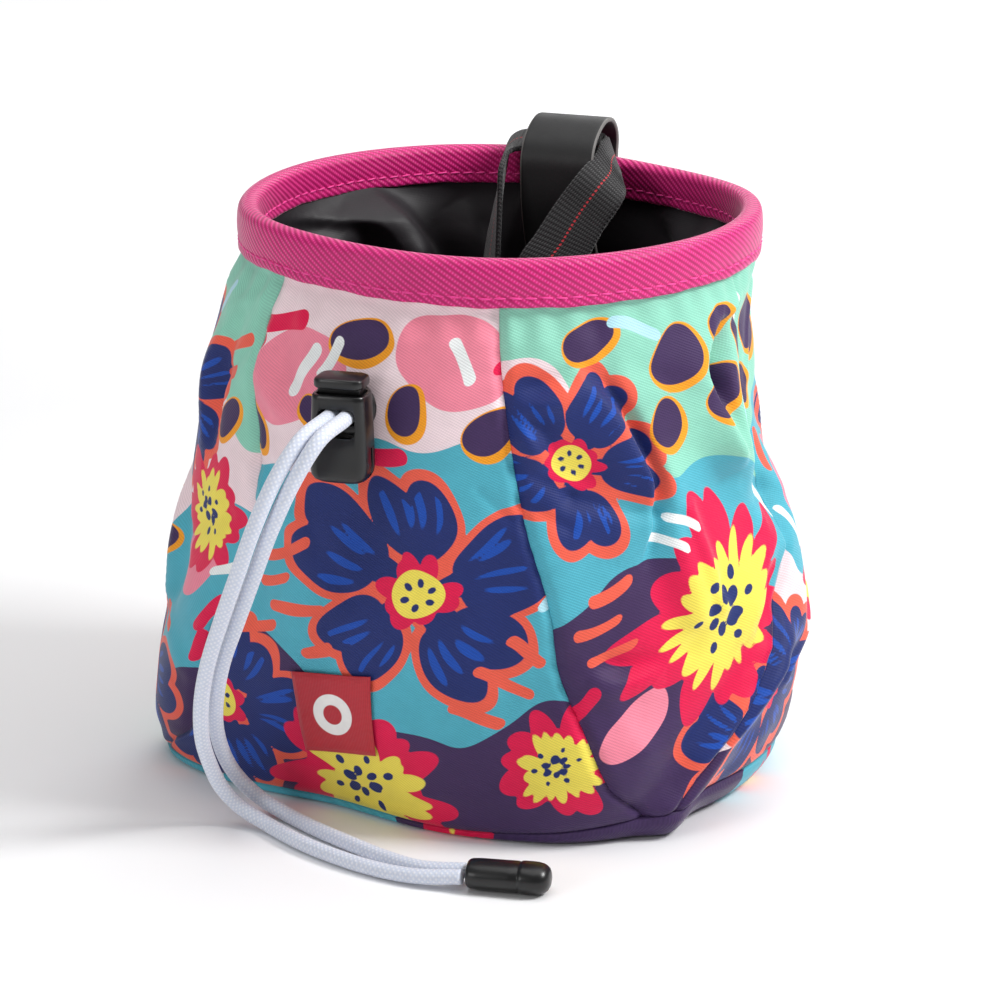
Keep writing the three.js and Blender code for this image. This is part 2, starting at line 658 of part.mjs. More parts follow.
function lockBody() {
  const levels = namedRows(['share', 'width', 'depth'], [
    [0, 0.62, 0.55], [0.035, 0.86, 0.84], [0.1, 0.99, 0.97], [0.2, 1.02, 1], [0.6, 0.98, 1],
    [0.94, lockTaper + 0.01, 0.98], [1, lockTaper - 0.04, 0.9],
  ]);
  const rings = levels.map(({ share, width, depth }) => {
    const outlinePoints = slab(lockWidth * width, lockDepth * depth, lockCorner).getPoints(3);
    const z = lockBottom + share * lockHeight;
    return outlinePoints.slice(0, -1).map((p) => new THREE.Vector3(p.x, p.y, z));
  });
  const slot = new THREE.ExtrudeGeometry(slab(slotWidth, slotHeight, slotCorner), {
    depth: 2 * lockDepth, bevelEnabled: false, curveSegments: 3,
  }).translate(0, 0, -lockDepth).rotateX(Math.PI / 2).translate(0, 0, (slotTop + slotBottom) / 2);
  const [pocketWidth, pocketDepth] = [plungerWidth + 2 * clearance, plungerDepth + 2 * clearance];
  const pocket = box(pocketWidth, pocketDepth, pocketBottom, lockTop + buttonThickness);
  const grooves = [-1, 1].map((side) => new THREE.BoxGeometry(grooveWidth, grooveDepth, grooveLength)
    .translate((side * lockWidth) / 2, grooveDepth / 2, lockBottom + grooveMiddle));
  return cut(ringSolid(rings, false), [slot, pocket, ...grooves]);
}

function lockButton() {
  const cap = new THREE.ExtrudeGeometry(slab(buttonWidth, buttonDepth, buttonCorner), {
    depth: buttonThickness - 2 * buttonBevel, bevelEnabled: true, bevelThickness: buttonBevel,
    bevelSize: buttonBevel, bevelOffset: -buttonBevel, bevelSegments: 1, curveSegments: 3,
  }).translate(0, 0, buttonBottom + buttonBevel);
  const stem = box(plungerWidth, plungerDepth, barTop - barThickness, buttonBottom + buttonBevel);
  const window = box(2 * cordDiameter + 3 * clearance, 2 * plungerDepth, barTop, windowTop);
  return cut(join([cap, stem]), [window]);
}

// Strands: straight through the eyelet and the lock, then along the route
const cordSides = 8;
const cordSteps = 36;
const cordBehind = 1.4; // strand behind the cloth

function strand(name, side, route, lockSeat) {
  const across = (side * strandPitch) / 2;
  const points = [
    new THREE.Vector3(across, 0, -(clothWall + cordBehind)).applyMatrix4(eyeletPlace),
    new THREE.Vector3(across, 0, eyeletLift).applyMatrix4(eyeletPlace),
    new THREE.Vector3(across, 0, 0).applyMatrix4(lockSeat),
    new THREE.Vector3(across, 0, lockDepth / 2 + 2 * clearance).applyMatrix4(lockSeat),
    ...route.map((p) => new THREE.Vector3(...p)),
  ];
  const curve = new THREE.CatmullRomCurve3(points, false, 'centripetal');
  const corners = Array.from({ length: cordSides }, (unused, i) => {
    const angle = (2 * Math.PI * (i + 0.5)) / cordSides;
    return new THREE.Vector2(cordRadius * Math.cos(angle), cordRadius * Math.sin(angle));
  });
  const tube = new THREE.ExtrudeGeometry(new THREE.Shape(corners), {
    extrudePath: curve, steps: cordSteps, bevelEnabled: false,
  });
  add(name, tube, { color: '#F4F5F8', roughness: 0.7, metalness: 0 });
}

function buildDrawcord() {
  const eyeletFace = buildEyelet();
  const lockCentre = new THREE.Vector3(0, 0, eyeletFace).applyMatrix4(eyeletPlace)
    .add(polar(lockTurn, lockGap + lockDepth / 2, 0));
  const lockSeat = facing(lockTurn, lockCentre);
  const lockPlace = lockSeat.clone().multiply(new THREE.Matrix4().makeRotationX(-Math.PI / 2));
  add('cord_lock_body', lockBody(), darkPlastic, lockPlace);
  add('cord_lock_button', lockButton(), darkPlastic, lockPlace);
  strand('cord_strand_outer', -1, outerRoute, lockSeat);
  strand('cord_strand_inner', 1, innerRoute, lockSeat);
}

// Cord end: a capsule lying on the floor that takes both strands
function buildCordEnd() {
  const stations = namedRows(['along', 'size'], [
    [-0.5, 0.80], [-0.47, 0.90], [-0.36, 0.95], [0.12, 0.97], [0.18, 1], [0.34, 1], [0.44, 0.82],
    [0.485, 0.5], [0.5, 0.2],
  ]);
  const sides = 14;
  const rings = stations.map(({ along, size }) => Array.from({ length: sides }, (unused, j) => {
    const angle = (2 * Math.PI * j) / sides;
    return new THREE.Vector3(
      along * endLength,
      (Math.cos(angle) * size * endWidth) / 2,
      (Math.sin(angle) * size * endHeight) / 2,
    );
  }));
  const place = new THREE.Matrix4().makeTranslation(...endCentre, endHeight / 2)
    .multiply(new THREE.Matrix4().makeRotationZ(radians(endTurn)));
  add('cord_end', ringSolid(rings, false), darkPlastic, place);
}

buildWall();
buildBase();
buildLining();
buildBinding();
buildBeltLoop();
buildBelt();
buildLabel();
buildDrawcord();
buildCordEnd();

// The origin is under the middle of the bag, cord and cord lock left aside
const onCord = /^(cord_|eyelet)/;
const extent = new THREE.Box3();
bag.updateMatrixWorld(true);
for (const mesh of bag.children) if (!onCord.test(mesh.name)) extent.expandByObject(mesh);
const middle = extent.getCenter(new THREE.Vector3());
bag.position.set(-middle.x, -middle.y, 0);

export default bag;
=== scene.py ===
import math

import bmesh
import bpy
import numpy as np
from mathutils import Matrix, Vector


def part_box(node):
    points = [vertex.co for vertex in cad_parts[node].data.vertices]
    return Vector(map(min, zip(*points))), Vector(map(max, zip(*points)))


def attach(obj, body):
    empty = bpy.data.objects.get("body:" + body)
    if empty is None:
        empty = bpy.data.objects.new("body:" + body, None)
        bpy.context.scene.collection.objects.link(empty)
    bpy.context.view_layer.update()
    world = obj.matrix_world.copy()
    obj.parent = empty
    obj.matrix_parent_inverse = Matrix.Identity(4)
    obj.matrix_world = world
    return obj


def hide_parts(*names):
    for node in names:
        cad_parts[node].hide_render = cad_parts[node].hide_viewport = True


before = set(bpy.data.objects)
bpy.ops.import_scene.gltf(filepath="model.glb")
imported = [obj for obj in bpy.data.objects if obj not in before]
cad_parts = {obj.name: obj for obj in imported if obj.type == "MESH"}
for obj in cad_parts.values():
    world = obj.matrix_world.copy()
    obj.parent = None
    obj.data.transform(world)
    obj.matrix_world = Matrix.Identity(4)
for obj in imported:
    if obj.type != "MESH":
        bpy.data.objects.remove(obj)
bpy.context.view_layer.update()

# Sizes are in mm round the rim's centre, with z up from the floor. A turn is in degrees from the front,
# positive to the right. A height is a share of the bag's height.
mm = 0.001
rimLow, rimHigh = (np.array(corner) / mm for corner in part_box("rim_binding"))
rimCentre = np.array([(rimLow[0] + rimHigh[0]) / 2, (rimLow[1] + rimHigh[1]) / 2, 0.0])
rimRadius = (rimHigh[0] - rimLow[0]) / 2

bag = {
    "height": 142.8,
    "clothWall": 1.4,
    "liningWall": 1.0,
    "liningSlack": 4.5,
    "tapeWall": 1.0,
    "bindingOuterHeight": 11.5,
    "bindingInnerHeight": 9.5,
    "clearance": 0.3,
}
bindingThickness = 2 * bag["tapeWall"] + bag["clothWall"] + bag["liningWall"] + 3 * bag["clearance"]
bindingFoot = 1 - bag["bindingOuterHeight"] / bag["height"]
clothInBinding = rimRadius - bag["tapeWall"] - bag["clearance"]


# Helpers: colours, meshes
def linear(hexColour):
    channels = [int(hexColour[i:i + 2], 16) / 255 for i in (1, 3, 5)]
    return [c / 12.92 if c <= 0.04045 else ((c + 0.055) / 1.055) ** 2.4 for c in channels] + [1.0]


def newPiece(name, points, faces, material, flat=None, fields=None):
    mesh = bpy.data.meshes.new(name)
    placed = (np.asarray(points, dtype=float) + rimCentre) * mm
    mesh.from_pydata(placed.tolist(), [], np.asarray(faces).tolist() if not isinstance(faces, list) else faces)
    mesh.update()
    if flat is not None:  # flat cloth coordinates, mm over 100
        layer = mesh.uv_layers.new(name="flat")
        corners = np.empty(len(mesh.loops), dtype=np.int32)
        mesh.loops.foreach_get("vertex_index", corners)
        layer.data.foreach_set("uv", (np.asarray(flat)[corners] / 100).astype(np.float32).ravel())
    for key, values in (fields or {}).items():
        attribute = mesh.attributes.new(key, "FLOAT", "POINT")
        attribute.data.foreach_set("value", np.asarray(values, dtype=np.float32).ravel())
    mesh.polygons.foreach_set("use_smooth", [True] * len(mesh.polygons))
    mesh.materials.append(material)
    piece = bpy.data.objects.new(name, mesh)
    bpy.context.collection.objects.link(piece)
    return piece


def gridFaces(rows, columns, wrap=False, flip=False):
    i, j = np.meshgrid(np.arange(rows - 1), np.arange(columns if wrap else columns - 1), indexing="ij")
    k = (j + 1) % columns
    corners = [i * columns + j, i * columns + k, (i + 1) * columns + k, (i + 1) * columns + j]
    if flip:
        corners.reverse()
    return np.stack(corners, -1).reshape(-1, 4)


def gridPiece(name, grid, material, wrap=False, flip=False, flat=None, fields=None):
    rows, columns = grid.shape[:2]
    return newPiece(name, grid.reshape(-1, 3), gridFaces(rows, columns, wrap, flip), material, flat, fields)


def applied(piece):  # takes the modifiers into the mesh
    bpy.context.view_layer.update()
    mesh = bpy.data.meshes.new_from_object(piece.evaluated_get(bpy.context.evaluated_depsgraph_get()))
    piece.modifiers.clear()
    piece.data = mesh
    return piece


def onBag(piece, slotName, *nodes, body="bag"):
    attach(piece, body)
    if nodes:
        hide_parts(*nodes)
    return piece


def polar(turn, reach, z):
    angle = np.radians(turn)
    return np.stack(np.broadcast_arrays(np.sin(angle) * reach, -np.cos(angle) * reach, z), -1)


def unit(vectors):
    return vectors / np.maximum(np.linalg.norm(vectors, axis=-1, keepdims=True), 1e-9)


def smoothstep(value, low, high):
    share = np.clip((value - low) / (high - low), 0, 1)
    return share * share * (3 - 2 * share)


def throughFour(a, b, c, d, share):  # smooth curve from b to c
    s2, s3 = share ** 2, share ** 3
    return ((2 * s3 - 3 * s2 + 1) * b + (s3 - 2 * s2 + share) * (c - a) / 2
            + (3 * s2 - 2 * s3) * c + (s3 - s2) * (d - b) / 2)


def throughPoints(points, perSpan=12):  # centripetal curve through points
    points = np.asarray(points, dtype=float)
    ends = [2 * points[0] - points[1], *points, 2 * points[-1] - points[-2]]
    path = []
    for a, b, c, d in zip(ends, ends[1:], ends[2:], ends[3:]):
        knots = np.cumsum([0, *(max(np.linalg.norm(q - p), 1e-6) ** 0.5 for p, q in ((a, b), (b, c), (c, d)))])
        for t in np.linspace(knots[1], knots[2], perSpan, endpoint=False):
            level = [a, b, c, d]
            for depth in (1, 2, 3):
                level = [((knots[i + depth] - t) * level[i] + (t - knots[i]) * level[i + 1])
                         / (knots[i + depth] - knots[i]) for i in range(4 - depth)] if depth < 3 else [
                    ((knots[2] - t) * level[0] + (t - knots[1]) * level[1]) / (knots[2] - knots[1])]
            path.append(level[0])
    return np.array([*path, points[-1]])


def evenly(path, pitch):  # the same path with even steps
    steps = np.r_[0, np.cumsum(np.linalg.norm(np.diff(path, axis=0), axis=1))]
    wanted = np.linspace(0, steps[-1], max(int(steps[-1] / pitch), 2))
    return np.stack([np.interp(wanted, steps, path[:, k]) for k in range(3)], -1)


def ripple(seed, turn, up, scale, count=9):  # soft seeded unevenness, about -1 to 1
    draw = np.random.default_rng(seed)
    total = 0
    for _ in range(count):
        waves = draw.normal(size=2) / scale
        total = total + np.sin(turn * waves[0] + up * waves[1] + draw.uniform(0, 2 * math.pi))
    return total / math.sqrt(count)


# Camera at the photograph's angle
camera = {
    "place": (0.0, -1000.0, 374.4),
    "pitchDown": 17.15,
    "focalPixels": 4192.0,
    "imagePixels": 1000.0,
    "sensor": 36.0,
}


def addCamera():
    data = bpy.data.cameras.new("camera")
    data.sensor_width = camera["sensor"]
    data.lens = camera["focalPixels"] * camera["sensor"] / camera["imagePixels"]
    data.clip_end = 20
    eye = bpy.data.objects.new("camera", data)
    eye.location = (np.array(camera["place"]) + rimCentre) * mm
    eye.rotation_euler = (math.radians(90 - camera["pitchDown"]), 0, 0)
    bpy.context.collection.objects.link(eye)
    bpy.context.scene.camera = eye


addCamera()
print("camera placed")


# Node helper for materials
class Nodes:
    def __init__(self, name, roughness, sheen=0.0, sheenRoughness=0.4, coat=0.0, specular=0.5):
        self.material = bpy.data.materials.new(name)
        self.material.use_nodes = True
        self.tree = self.material.node_tree
        self.shader = self.tree.nodes["Principled BSDF"]
        self.put("Roughness", roughness)
        self.shader.inputs["Sheen Weight"].default_value = sheen
        self.shader.inputs["Sheen Roughness"].default_value = sheenRoughness
        self.shader.inputs["Coat Weight"].default_value = coat
        self.shader.inputs["Specular IOR Level"].default_value = specular

    def put(self, socket, value):
        self.feed(self.shader.inputs[socket], value)

    def feed(self, socket, value):
        if isinstance(value, bpy.types.NodeSocket):
            self.tree.links.new(value, socket)
        else:
            socket.default_value = value

    def math(self, operation, a, b=0.0, clamp=False):
        node = self.tree.nodes.new("ShaderNodeMath")
        node.operation = operation
        node.use_clamp = clamp
        self.feed(node.inputs[0], a)
        self.feed(node.inputs[1], b)
        return node.outputs[0]

    def mix(self, share, low, high, blend="MIX"):
        node = self.tree.nodes.new("ShaderNodeMix")
        node.data_type = "RGBA"
        node.blend_type = blend
        self.feed(node.inputs["Factor"], share)
        self.feed(node.inputs["A"], low)
        self.feed(node.inputs["B"], high)
        return node.outputs["Result"]

    def attribute(self, name):
        node = self.tree.nodes.new("ShaderNodeAttribute")
        node.attribute_name = name
        return node.outputs["Fac"]

    def flat(self):  # flat cloth coordinates in mm, as two sockets
        node = self.tree.nodes.new("ShaderNodeUVMap")
        node.uv_map = "flat"
        parts = self.tree.nodes.new("ShaderNodeSeparateXYZ")
        self.tree.links.new(node.outputs[0], parts.inputs[0])
        return self.math("MULTIPLY", parts.outputs[0], 100.0), self.math("MULTIPLY", parts.outputs[1], 100.0)

    def noise(self, scale, detail=3.0, roughness=0.5, stretch=None, coordinates="Object"):
        source = self.tree.nodes.new("ShaderNodeTexCoord").outputs[coordinates]
        if stretch:
            mapping = self.tree.nodes.new("ShaderNodeMapping")
            mapping.inputs["Scale"].default_value = stretch
            self.tree.links.new(source, mapping.inputs[0])
            source = mapping.outputs[0]
        node = self.tree.nodes.new("ShaderNodeTexNoise")
        self.tree.links.new(source, node.inputs["Vector"])
        node.inputs["Scale"].default_value = scale
        node.inputs["Detail"].default_value = detail
        node.inputs["Roughness"].default_value = roughness
        return node.outputs["Fac"]

    def wave(self, u, v, pitch, slant):  # 0 to 1 across lines with that pitch in mm, slanted by degrees
        along = self.math("MULTIPLY", u, math.cos(math.radians(slant)) * 2 * math.pi / pitch)
        across = self.math("MULTIPLY", v, math.sin(math.radians(slant)) * 2 * math.pi / pitch)
        return self.half(self.math("SINE", self.math("ADD", along, across)))

    def half(self, value):
        return self.math("ADD", self.math("MULTIPLY", value, 0.5), 0.5)

    def range(self, value, fromLow, fromHigh, toLow, toHigh):
        node = self.tree.nodes.new("ShaderNodeMapRange")
        self.feed(node.inputs["Value"], value)
        for key, number in (("From Min", fromLow), ("From Max", fromHigh), ("To Min", toLow), ("To Max", toHigh)):
            node.inputs[key].default_value = number
        return node.outputs[0]

    def bump(self, height, depth, strength=1.0):  # depth in mm
        node = self.tree.nodes.new("ShaderNodeBump")
        node.inputs["Strength"].default_value = strength
        node.inputs["Distance"].default_value = depth * mm
        self.feed(node.inputs["Height"], height)
        self.tree.links.new(node.outputs[0], self.shader.inputs["Normal"])

    def shade(self, colour, share, low=0.8, high=1.15):  # brightens and darkens a colour
        level = self.range(share, 0.0, 1.0, low, high)
        grey = self.tree.nodes.new("ShaderNodeCombineColor")
        for socket in grey.inputs[:3]:
            self.tree.links.new(level, socket)
        return self.mix(1.0, colour, grey.outputs[0], "MULTIPLY")


# Cord strands: a braided tube along each route, then the pieces on them
cords = {
    "diameter": 3.7,
    "braidPitch": 1.0,
    "braidDepth": 0.12,
    "sides": 28,
    "step": 0.6,
    "colour": "#ECEEF5",
    "shadow": "#CFD6E6",
}
# Routes after the lock, the same points as the solids have
outerRoute = [
    [-45.4, -83, 105.7], [-51, -86.5, 97.7], [-56.2, -87, 86], [-60.3, -84.5, 74.1], [-64.5, -80.5, 61.6],
    [-68.3, -76, 48.9], [-70.4, -71, 37.2], [-70.7, -66, 27.1], [-69.4, -60.3, 18.3], [-66.9, -56, 10.5],
    [-62.8, -54.3, 5.1], [-56.4, -58.2, 2.3], [-47.4, -69.8, 1.95], [-38.2, -79.3, 1.95],
    [-28.6, -86.8, 1.95], [-19.1, -92, 2.4], [-8.9, -95.1, 3.5],
]
innerRoute = [
    [-41.2, -84.6, 106], [-46.8, -86.3, 97.2], [-52.4, -85, 84.8], [-56.7, -81.5, 72.6], [-61, -77, 60.1],
    [-65.1, -71.6, 47.6], [-67.2, -65.8, 36.2], [-67.6, -59.9, 26.6], [-65.9, -53.4, 16.8], [-62.8, -49, 9.8],
    [-58.4, -47.2, 4.7], [-52.4, -50.8, 2.2], [-44.7, -60.4, 1.95], [-36, -70.1, 1.95],
    [-26.9, -79.5, 1.95], [-18.2, -86.9, 2.4], [-8.1, -91.1, 3.5],
]


# The cloth wall, from the same sections as the solids: its reach from the rim's centre line in eight
# directions from the front round to the front left, as shares of the rim's radius
wall = {
    "heights": [0.00, 0.07, 0.18, 0.28, 0.40, 0.52, 0.66, 0.77, 0.86, 0.912],
    "reach": [
        [1.02, 1.12, 1.11, 1.12, 1.03, 1.00, 1.30, 0.93],
        [1.06, 1.17, 1.14, 1.15, 1.07, 1.05, 1.335, 1.00],
        [1.10, 1.20, 1.17, 1.17, 1.10, 1.10, 1.335, 1.08],
        [1.12, 1.21, 1.175, 1.17, 1.11, 1.13, 1.30, 1.13],
        [1.12, 1.19, 1.125, 1.14, 1.11, 1.14, 1.25, 1.155],
        [1.10, 1.13, 1.035, 1.09, 1.09, 1.13, 1.20, 1.15],
        [1.08, 1.07, 0.96, 1.04, 1.06, 1.10, 1.145, 1.12],
        [1.055, 1.03, 0.945, 1.01, 1.035, 1.065, 1.105, 1.09],
        [1.02, 0.995, 0.965, 0.99, 1.005, 1.02, 1.045, 1.03],
        [0.9797] * 8,
    ],
    "baseSeam": [0.035, 0.13, 0.12, 0.08, 0.05, 0.045, 0.035, 0.035],
    "rim": [0, 0, -0.005, -0.034, 0, 0.01, 0.004, 0.02],
    "footInset": 0.9,
    "basePrint": {  # from the middle of the floor, across and back
        "pale": [], "mint": [(0, 30, 8, 5, 12, 1.0)], "plum": [(0, -46, 186, 6, 17, 0.8)],
        "rose": [(30, 10, 14, 9, 30), (-50, -8, 12, 9, 80)],
        "petals": [(-16, 4, 26, 5, 15, 131)], "bursts": [(-14, -72, 18, 12, 141), (58, -20, 12, 11, 142)],
        "ovals": [(20, -24, 6, 4, 30), (34, -12, 5, 3.4, 70)],
        "coralDash": [(44, -30, 10, 3, 40), (-56, 20, 10, 3, 100)], "redDash": [(10, 44, 10, 4, 20)],
        "whiteDash": [(-70, -20, 9, 3, 100)], "skyDash": [(62, 8, 10, 3, 80)],
    },
}
# Folds: from turn and height, to turn and height, half width, how far it stands out, and how far its left
# side stands out over its right
folds = [
    [64, 0.90, 50, 0.66, 0.12, 0.055, 0.03], [50, 0.66, 60, 0.42, 0.12, 0.035, 0.03],
    [66, 0.82, 62, 0.52, 0.13, -0.060, 0], [72, 0.52, 68, 0.26, 0.12, 0.035, 0.02],
    [30, 0.60, 36, 0.36, 0.09, 0.030, 0.03], [12, 0.66, 28, 0.58, 0.08, -0.035, 0],
    [58, 0.26, 32, 0.02, 0.10, 0.045, 0.05], [8, 0.52, 14, 0.20, 0.12, 0.030, 0],
    [24, 0.12, 28, 0.00, 0.16, 0.060, 0], [12, 0.10, 14, 0.00, 0.20, 0.055, 0], [-34, 0.60, -26, 0.50, 0.14, -0.025, 0],
    [-54, 0.66, -53, 0.36, 0.13, -0.035, 0], [-66, 0.30, -88, 0.02, 0.16, 0.035, 0],
    [12, 0.30, 2, 0.12, 0.14, -0.020, 0], [-52, 0.88, -46, 0.78, 0.08, -0.020, 0],
    [-100, 0.70, -112, 0.30, 0.16, -0.030, 0], [118, 0.70, 140, 0.30, 0.16, 0.035, 0.02],
    [150, 0.14, 150, 0.00, 0.16, 0.050, 0], [186, 0.72, 172, 0.24, 0.16, 0.030, 0.015],
    [212, 0.60, 224, 0.24, 0.18, -0.030, 0], [240, 0.76, 252, 0.30, 0.14, 0.030, -0.015],
]
# Narrower creases that only the cloth itself shows
creases = [
    [14, 0.60, 33, 0.55, 0.035, -0.018, 0.006], [37, 0.545, 42, 0.36, 0.035, 0.016, 0.016],
    [43, 0.40, 36, 0.30, 0.04, -0.014, 0], [58, 0.86, 50, 0.70, 0.04, 0.012, 0.012],
    [60, 0.60, 72, 0.50, 0.05, 0.014, 0.008], [46, 0.72, 30, 0.80, 0.05, -0.010, 0],
    [3, 0.66, 14, 0.60, 0.025, -0.012, 0], [4, 0.60, 13, 0.55, 0.022, -0.010, 0],
    [-4, 0.62, 2, 0.57, 0.02, -0.008, 0], [56, 0.22, 38, 0.10, 0.05, 0.014, 0.010],
    [50, 0.10, 34, 0.05, 0.05, -0.014, 0], [-38, 0.52, -30, 0.42, 0.05, -0.010, 0],
    [-50, 0.60, -44, 0.48, 0.04, -0.010, 0], [-58, 0.80, -72, 0.70, 0.04, -0.012, 0.006],
    [-60, 0.88, -74, 0.84, 0.03, 0.010, 0], [-20, 0.88, -24, 0.78, 0.04, 0.008, 0],
    [20, 0.88, 24, 0.76, 0.04, -0.008, 0], [-8, 0.20, -22, 0.10, 0.05, -0.008, 0],
    [16, 0.30, 26, 0.14, 0.05, 0.012, 0], [-62, 0.50, -76, 0.44, 0.04, -0.012, 0],
    [-70, 0.20, -84, 0.30, 0.05, 0.012, 0], [100, 0.80, 92, 0.60, 0.05, -0.014, 0],
    [106, 0.40, 90, 0.24, 0.05, 0.014, 0.006], [126, 0.84, 132, 0.60, 0.04, 0.012, 0.008],
    [160, 0.70, 150, 0.46, 0.05, -0.014, 0], [176, 0.40, 190, 0.30, 0.05, 0.012, 0],
    [196, 0.86, 190, 0.66, 0.04, 0.010, 0], [220, 0.80, 206, 0.60, 0.05, -0.012, 0],
    [236, 0.36, 252, 0.22, 0.05, 0.012, 0.006], [262, 0.60, 250, 0.40, 0.05, -0.012, 0],
    [80, 0.30, 66, 0.16, 0.04, 0.014, 0.010], [84, 0.86, 76, 0.70, 0.035, 0.010, 0.006],
]
# Drapes of the cloth: a line of turns and heights, how wide it falls off to its left and right, how far it
# stands out, and how deep the hollow on its right is, all in mm
drapes = [
    ([(14, 0.82), (22, 0.745), (26, 0.68), (29, 0.60), (28.5, 0.53), (25.5, 0.46)], 9.0, 1.6, 3.4, 2.2),
    ([(66, 0.87), (51, 0.84), (45.5, 0.78), (47.5, 0.72), (49, 0.64), (52, 0.58)], 8.0, 2.0, 3.2, 3.0),
    ([(46, 0.655), (54, 0.61), (66, 0.52)], 4.5, 5.0, 2.2, 0.6),
    ([(3, 0.76), (9, 0.765), (18, 0.79)], 3.0, 2.2, 1.6, 1.0),
    ([(16, 0.29), (22, 0.27), (31, 0.275)], 5.0, 2.2, 1.6, 1.0),
    ([(60, 0.44), (54, 0.35), (51, 0.26)], 7.0, 3.0, 2.0, 1.4),
    ([(2, 0.755), (6, 0.70), (9, 0.66)], 3.5, 2.0, 1.4, 0.8),
    ([(-57, 0.80), (-48, 0.72), (-36, 0.70)], 4.0, 3.0, 1.2, 0.8),
    ([(-60, 0.60), (-50, 0.54), (-38, 0.53)], 5.0, 3.0, 1.2, 0.8),
    ([(-68, 0.86), (-76, 0.72), (-74, 0.58)], 6.0, 2.4, 2.0, 1.6),
    ([(-92, 0.52), (-84, 0.40), (-88, 0.26)], 7.0, 3.0, 2.0, 1.4),
    ([(104, 0.84), (96, 0.70), (100, 0.54)], 8.0, 2.2, 2.6, 2.0),
    ([(136, 0.80), (146, 0.66), (142, 0.48)], 7.0, 2.4, 2.2, 1.6),
    ([(214, 0.84), (206, 0.70), (210, 0.52)], 8.0, 2.4, 2.2, 1.8),
    ([(170, 0.44), (178, 0.30), (172, 0.16)], 7.0, 3.0, 1.8, 1.2),
]
liningFolds = [
    [-62, 0.86, -20, 0.62, 0.13, -0.09, 0], [228, 0.88, 262, 0.60, 0.14, -0.10, 0],
    [206, 0.80, 200, 0.40, 0.13, -0.08, 0], [118, 0.84, 96, 0.50, 0.15, -0.08, 0],
    [40, 0.80, 52, 0.40, 0.15, -0.05, 0],
]
# Seams between the wall's pieces: their turn at each height
seams = {
    "heights": [0.00, 0.08, 0.20, 0.30, 0.42, 0.55, 0.70, 0.85, 1.00],
    "turns": [
        [-86, 28, 33, 147, 153, 268], [-74, 20, 41, 140, 160, 260], [-68, 15, 52, 134, 172, 254],
        [-64, 11, 61, 131, 182, 251], [-55, 9, 67, 129, 187, 249], [-54, 5, 68, 125, 188, 245],
        [-57, 2, 66, 122, 186, 242], [-57, 0, 64, 120, 184, 240], [-56, 0, 64, 120, 184, 240],
    ],
    "depth": 1.3,
    "width": 1.5,
}
wallPieces = ["panel_front", "gore_front_right", "panel_right", "gore_back", "panel_back", "gore_left"]


def around(row, turn):  # one row's values at any turn
    row = np.asarray(row, dtype=float)
    spot = np.mod(turn, 360) / 45
    first = np.floor(spot).astype(int)
    return throughFour(*(row[(first + k) % 8] for k in (-1, 0, 1, 2)), spot - first)


def upRows(heights, values, height):  # values: one array for each row
    last = len(heights) - 1
    height = np.asarray(height, dtype=float)
    k = np.clip(np.searchsorted(heights, height, side="left") - 1, 0, last - 1)
    marks = np.asarray(heights)
    share = np.clip((height - marks[k]) / (marks[k + 1] - marks[k]), 0, 1)
    values = np.stack([np.broadcast_to(v, height.shape) for v in values])
    at = [np.take_along_axis(values, np.clip(k + i, 0, last)[None], 0)[0] for i in (-1, 0, 1, 2)]
    return throughFour(*at, share)


def foldAt(table, turn, height):
    total = np.zeros(np.broadcast(turn, height).shape)
    ratio = bag["height"] / rimRadius
    for fromTurn, fromHeight, toTurn, toHeight, width, ridge, step in table:
        middle = (fromTurn + toTurn) / 2
        near = middle + np.mod(turn - middle + 180, 360) - 180
        along = np.array([math.radians(toTurn - fromTurn), (toHeight - fromHeight) * ratio])
        fromX, fromY = np.radians(near - fromTurn), (height - fromHeight) * ratio
        length = math.hypot(*along)
        share = (fromX * along[0] + fromY * along[1]) / length ** 2
        beyond = (share - np.clip(share, 0, 1)) * length
        left = (fromX * along[1] - fromY * along[0]) / length / width
        total += np.exp(-left ** 2 - (beyond / width) ** 2) * (ridge - step * left * 2)
    return total


def drapeAt(table, turn, height):
    total = np.zeros(np.broadcast(turn, height).shape)
    for line, left, right, out, hollow in table:
        flatLine = [(math.radians(t) * rimRadius, h * bag["height"], 0) for t, h in line]
        spots = throughPoints(flatLine, 18)[:, :2]
        middle = line[len(line) // 2][0]
        across = np.radians(middle + np.mod(turn - middle + 180, 360) - 180) * rimRadius
        fromX, fromY = across[..., None] - spots[:, 0], height[..., None] * bag["height"] - spots[:, 1]
        distance = np.hypot(fromX, fromY)
        nearest = distance.argmin(-1)
        along = np.gradient(spots, axis=0)[nearest]
        x, y, away = (np.take_along_axis(values, nearest[..., None], -1)[..., 0] for values in (fromX, fromY, distance))
        aside = away * np.sign(y * along[..., 0] - x * along[..., 1])
        ends = np.sin((nearest + 0.5) / len(spots) * math.pi) ** 0.9
        dip = 1.5 * hollow * np.exp(-((aside - 1.8 * right) / (1.2 * right)) ** 2)
        total += (1.3 * out * np.exp(-(aside / np.where(aside < 0, left, right)) ** 2) - dip) * ends
    return total


def broadReach(turn, height):  # the wall without its folds
    rows = [around(row, turn) for row in wall["reach"]]
    return upRows(wall["heights"], rows, height) * rimRadius


def heightZ(turn, height):
    low = around(wall["baseSeam"], turn) * rimRadius
    high = bag["height"] + around(wall["rim"], turn) * rimRadius
    return low + (high - low) * height


def seamTurn(index, height):
    return upRows(seams["heights"], [row[index % 6] for row in seams["turns"]], height) + (360 if index > 5 else 0)


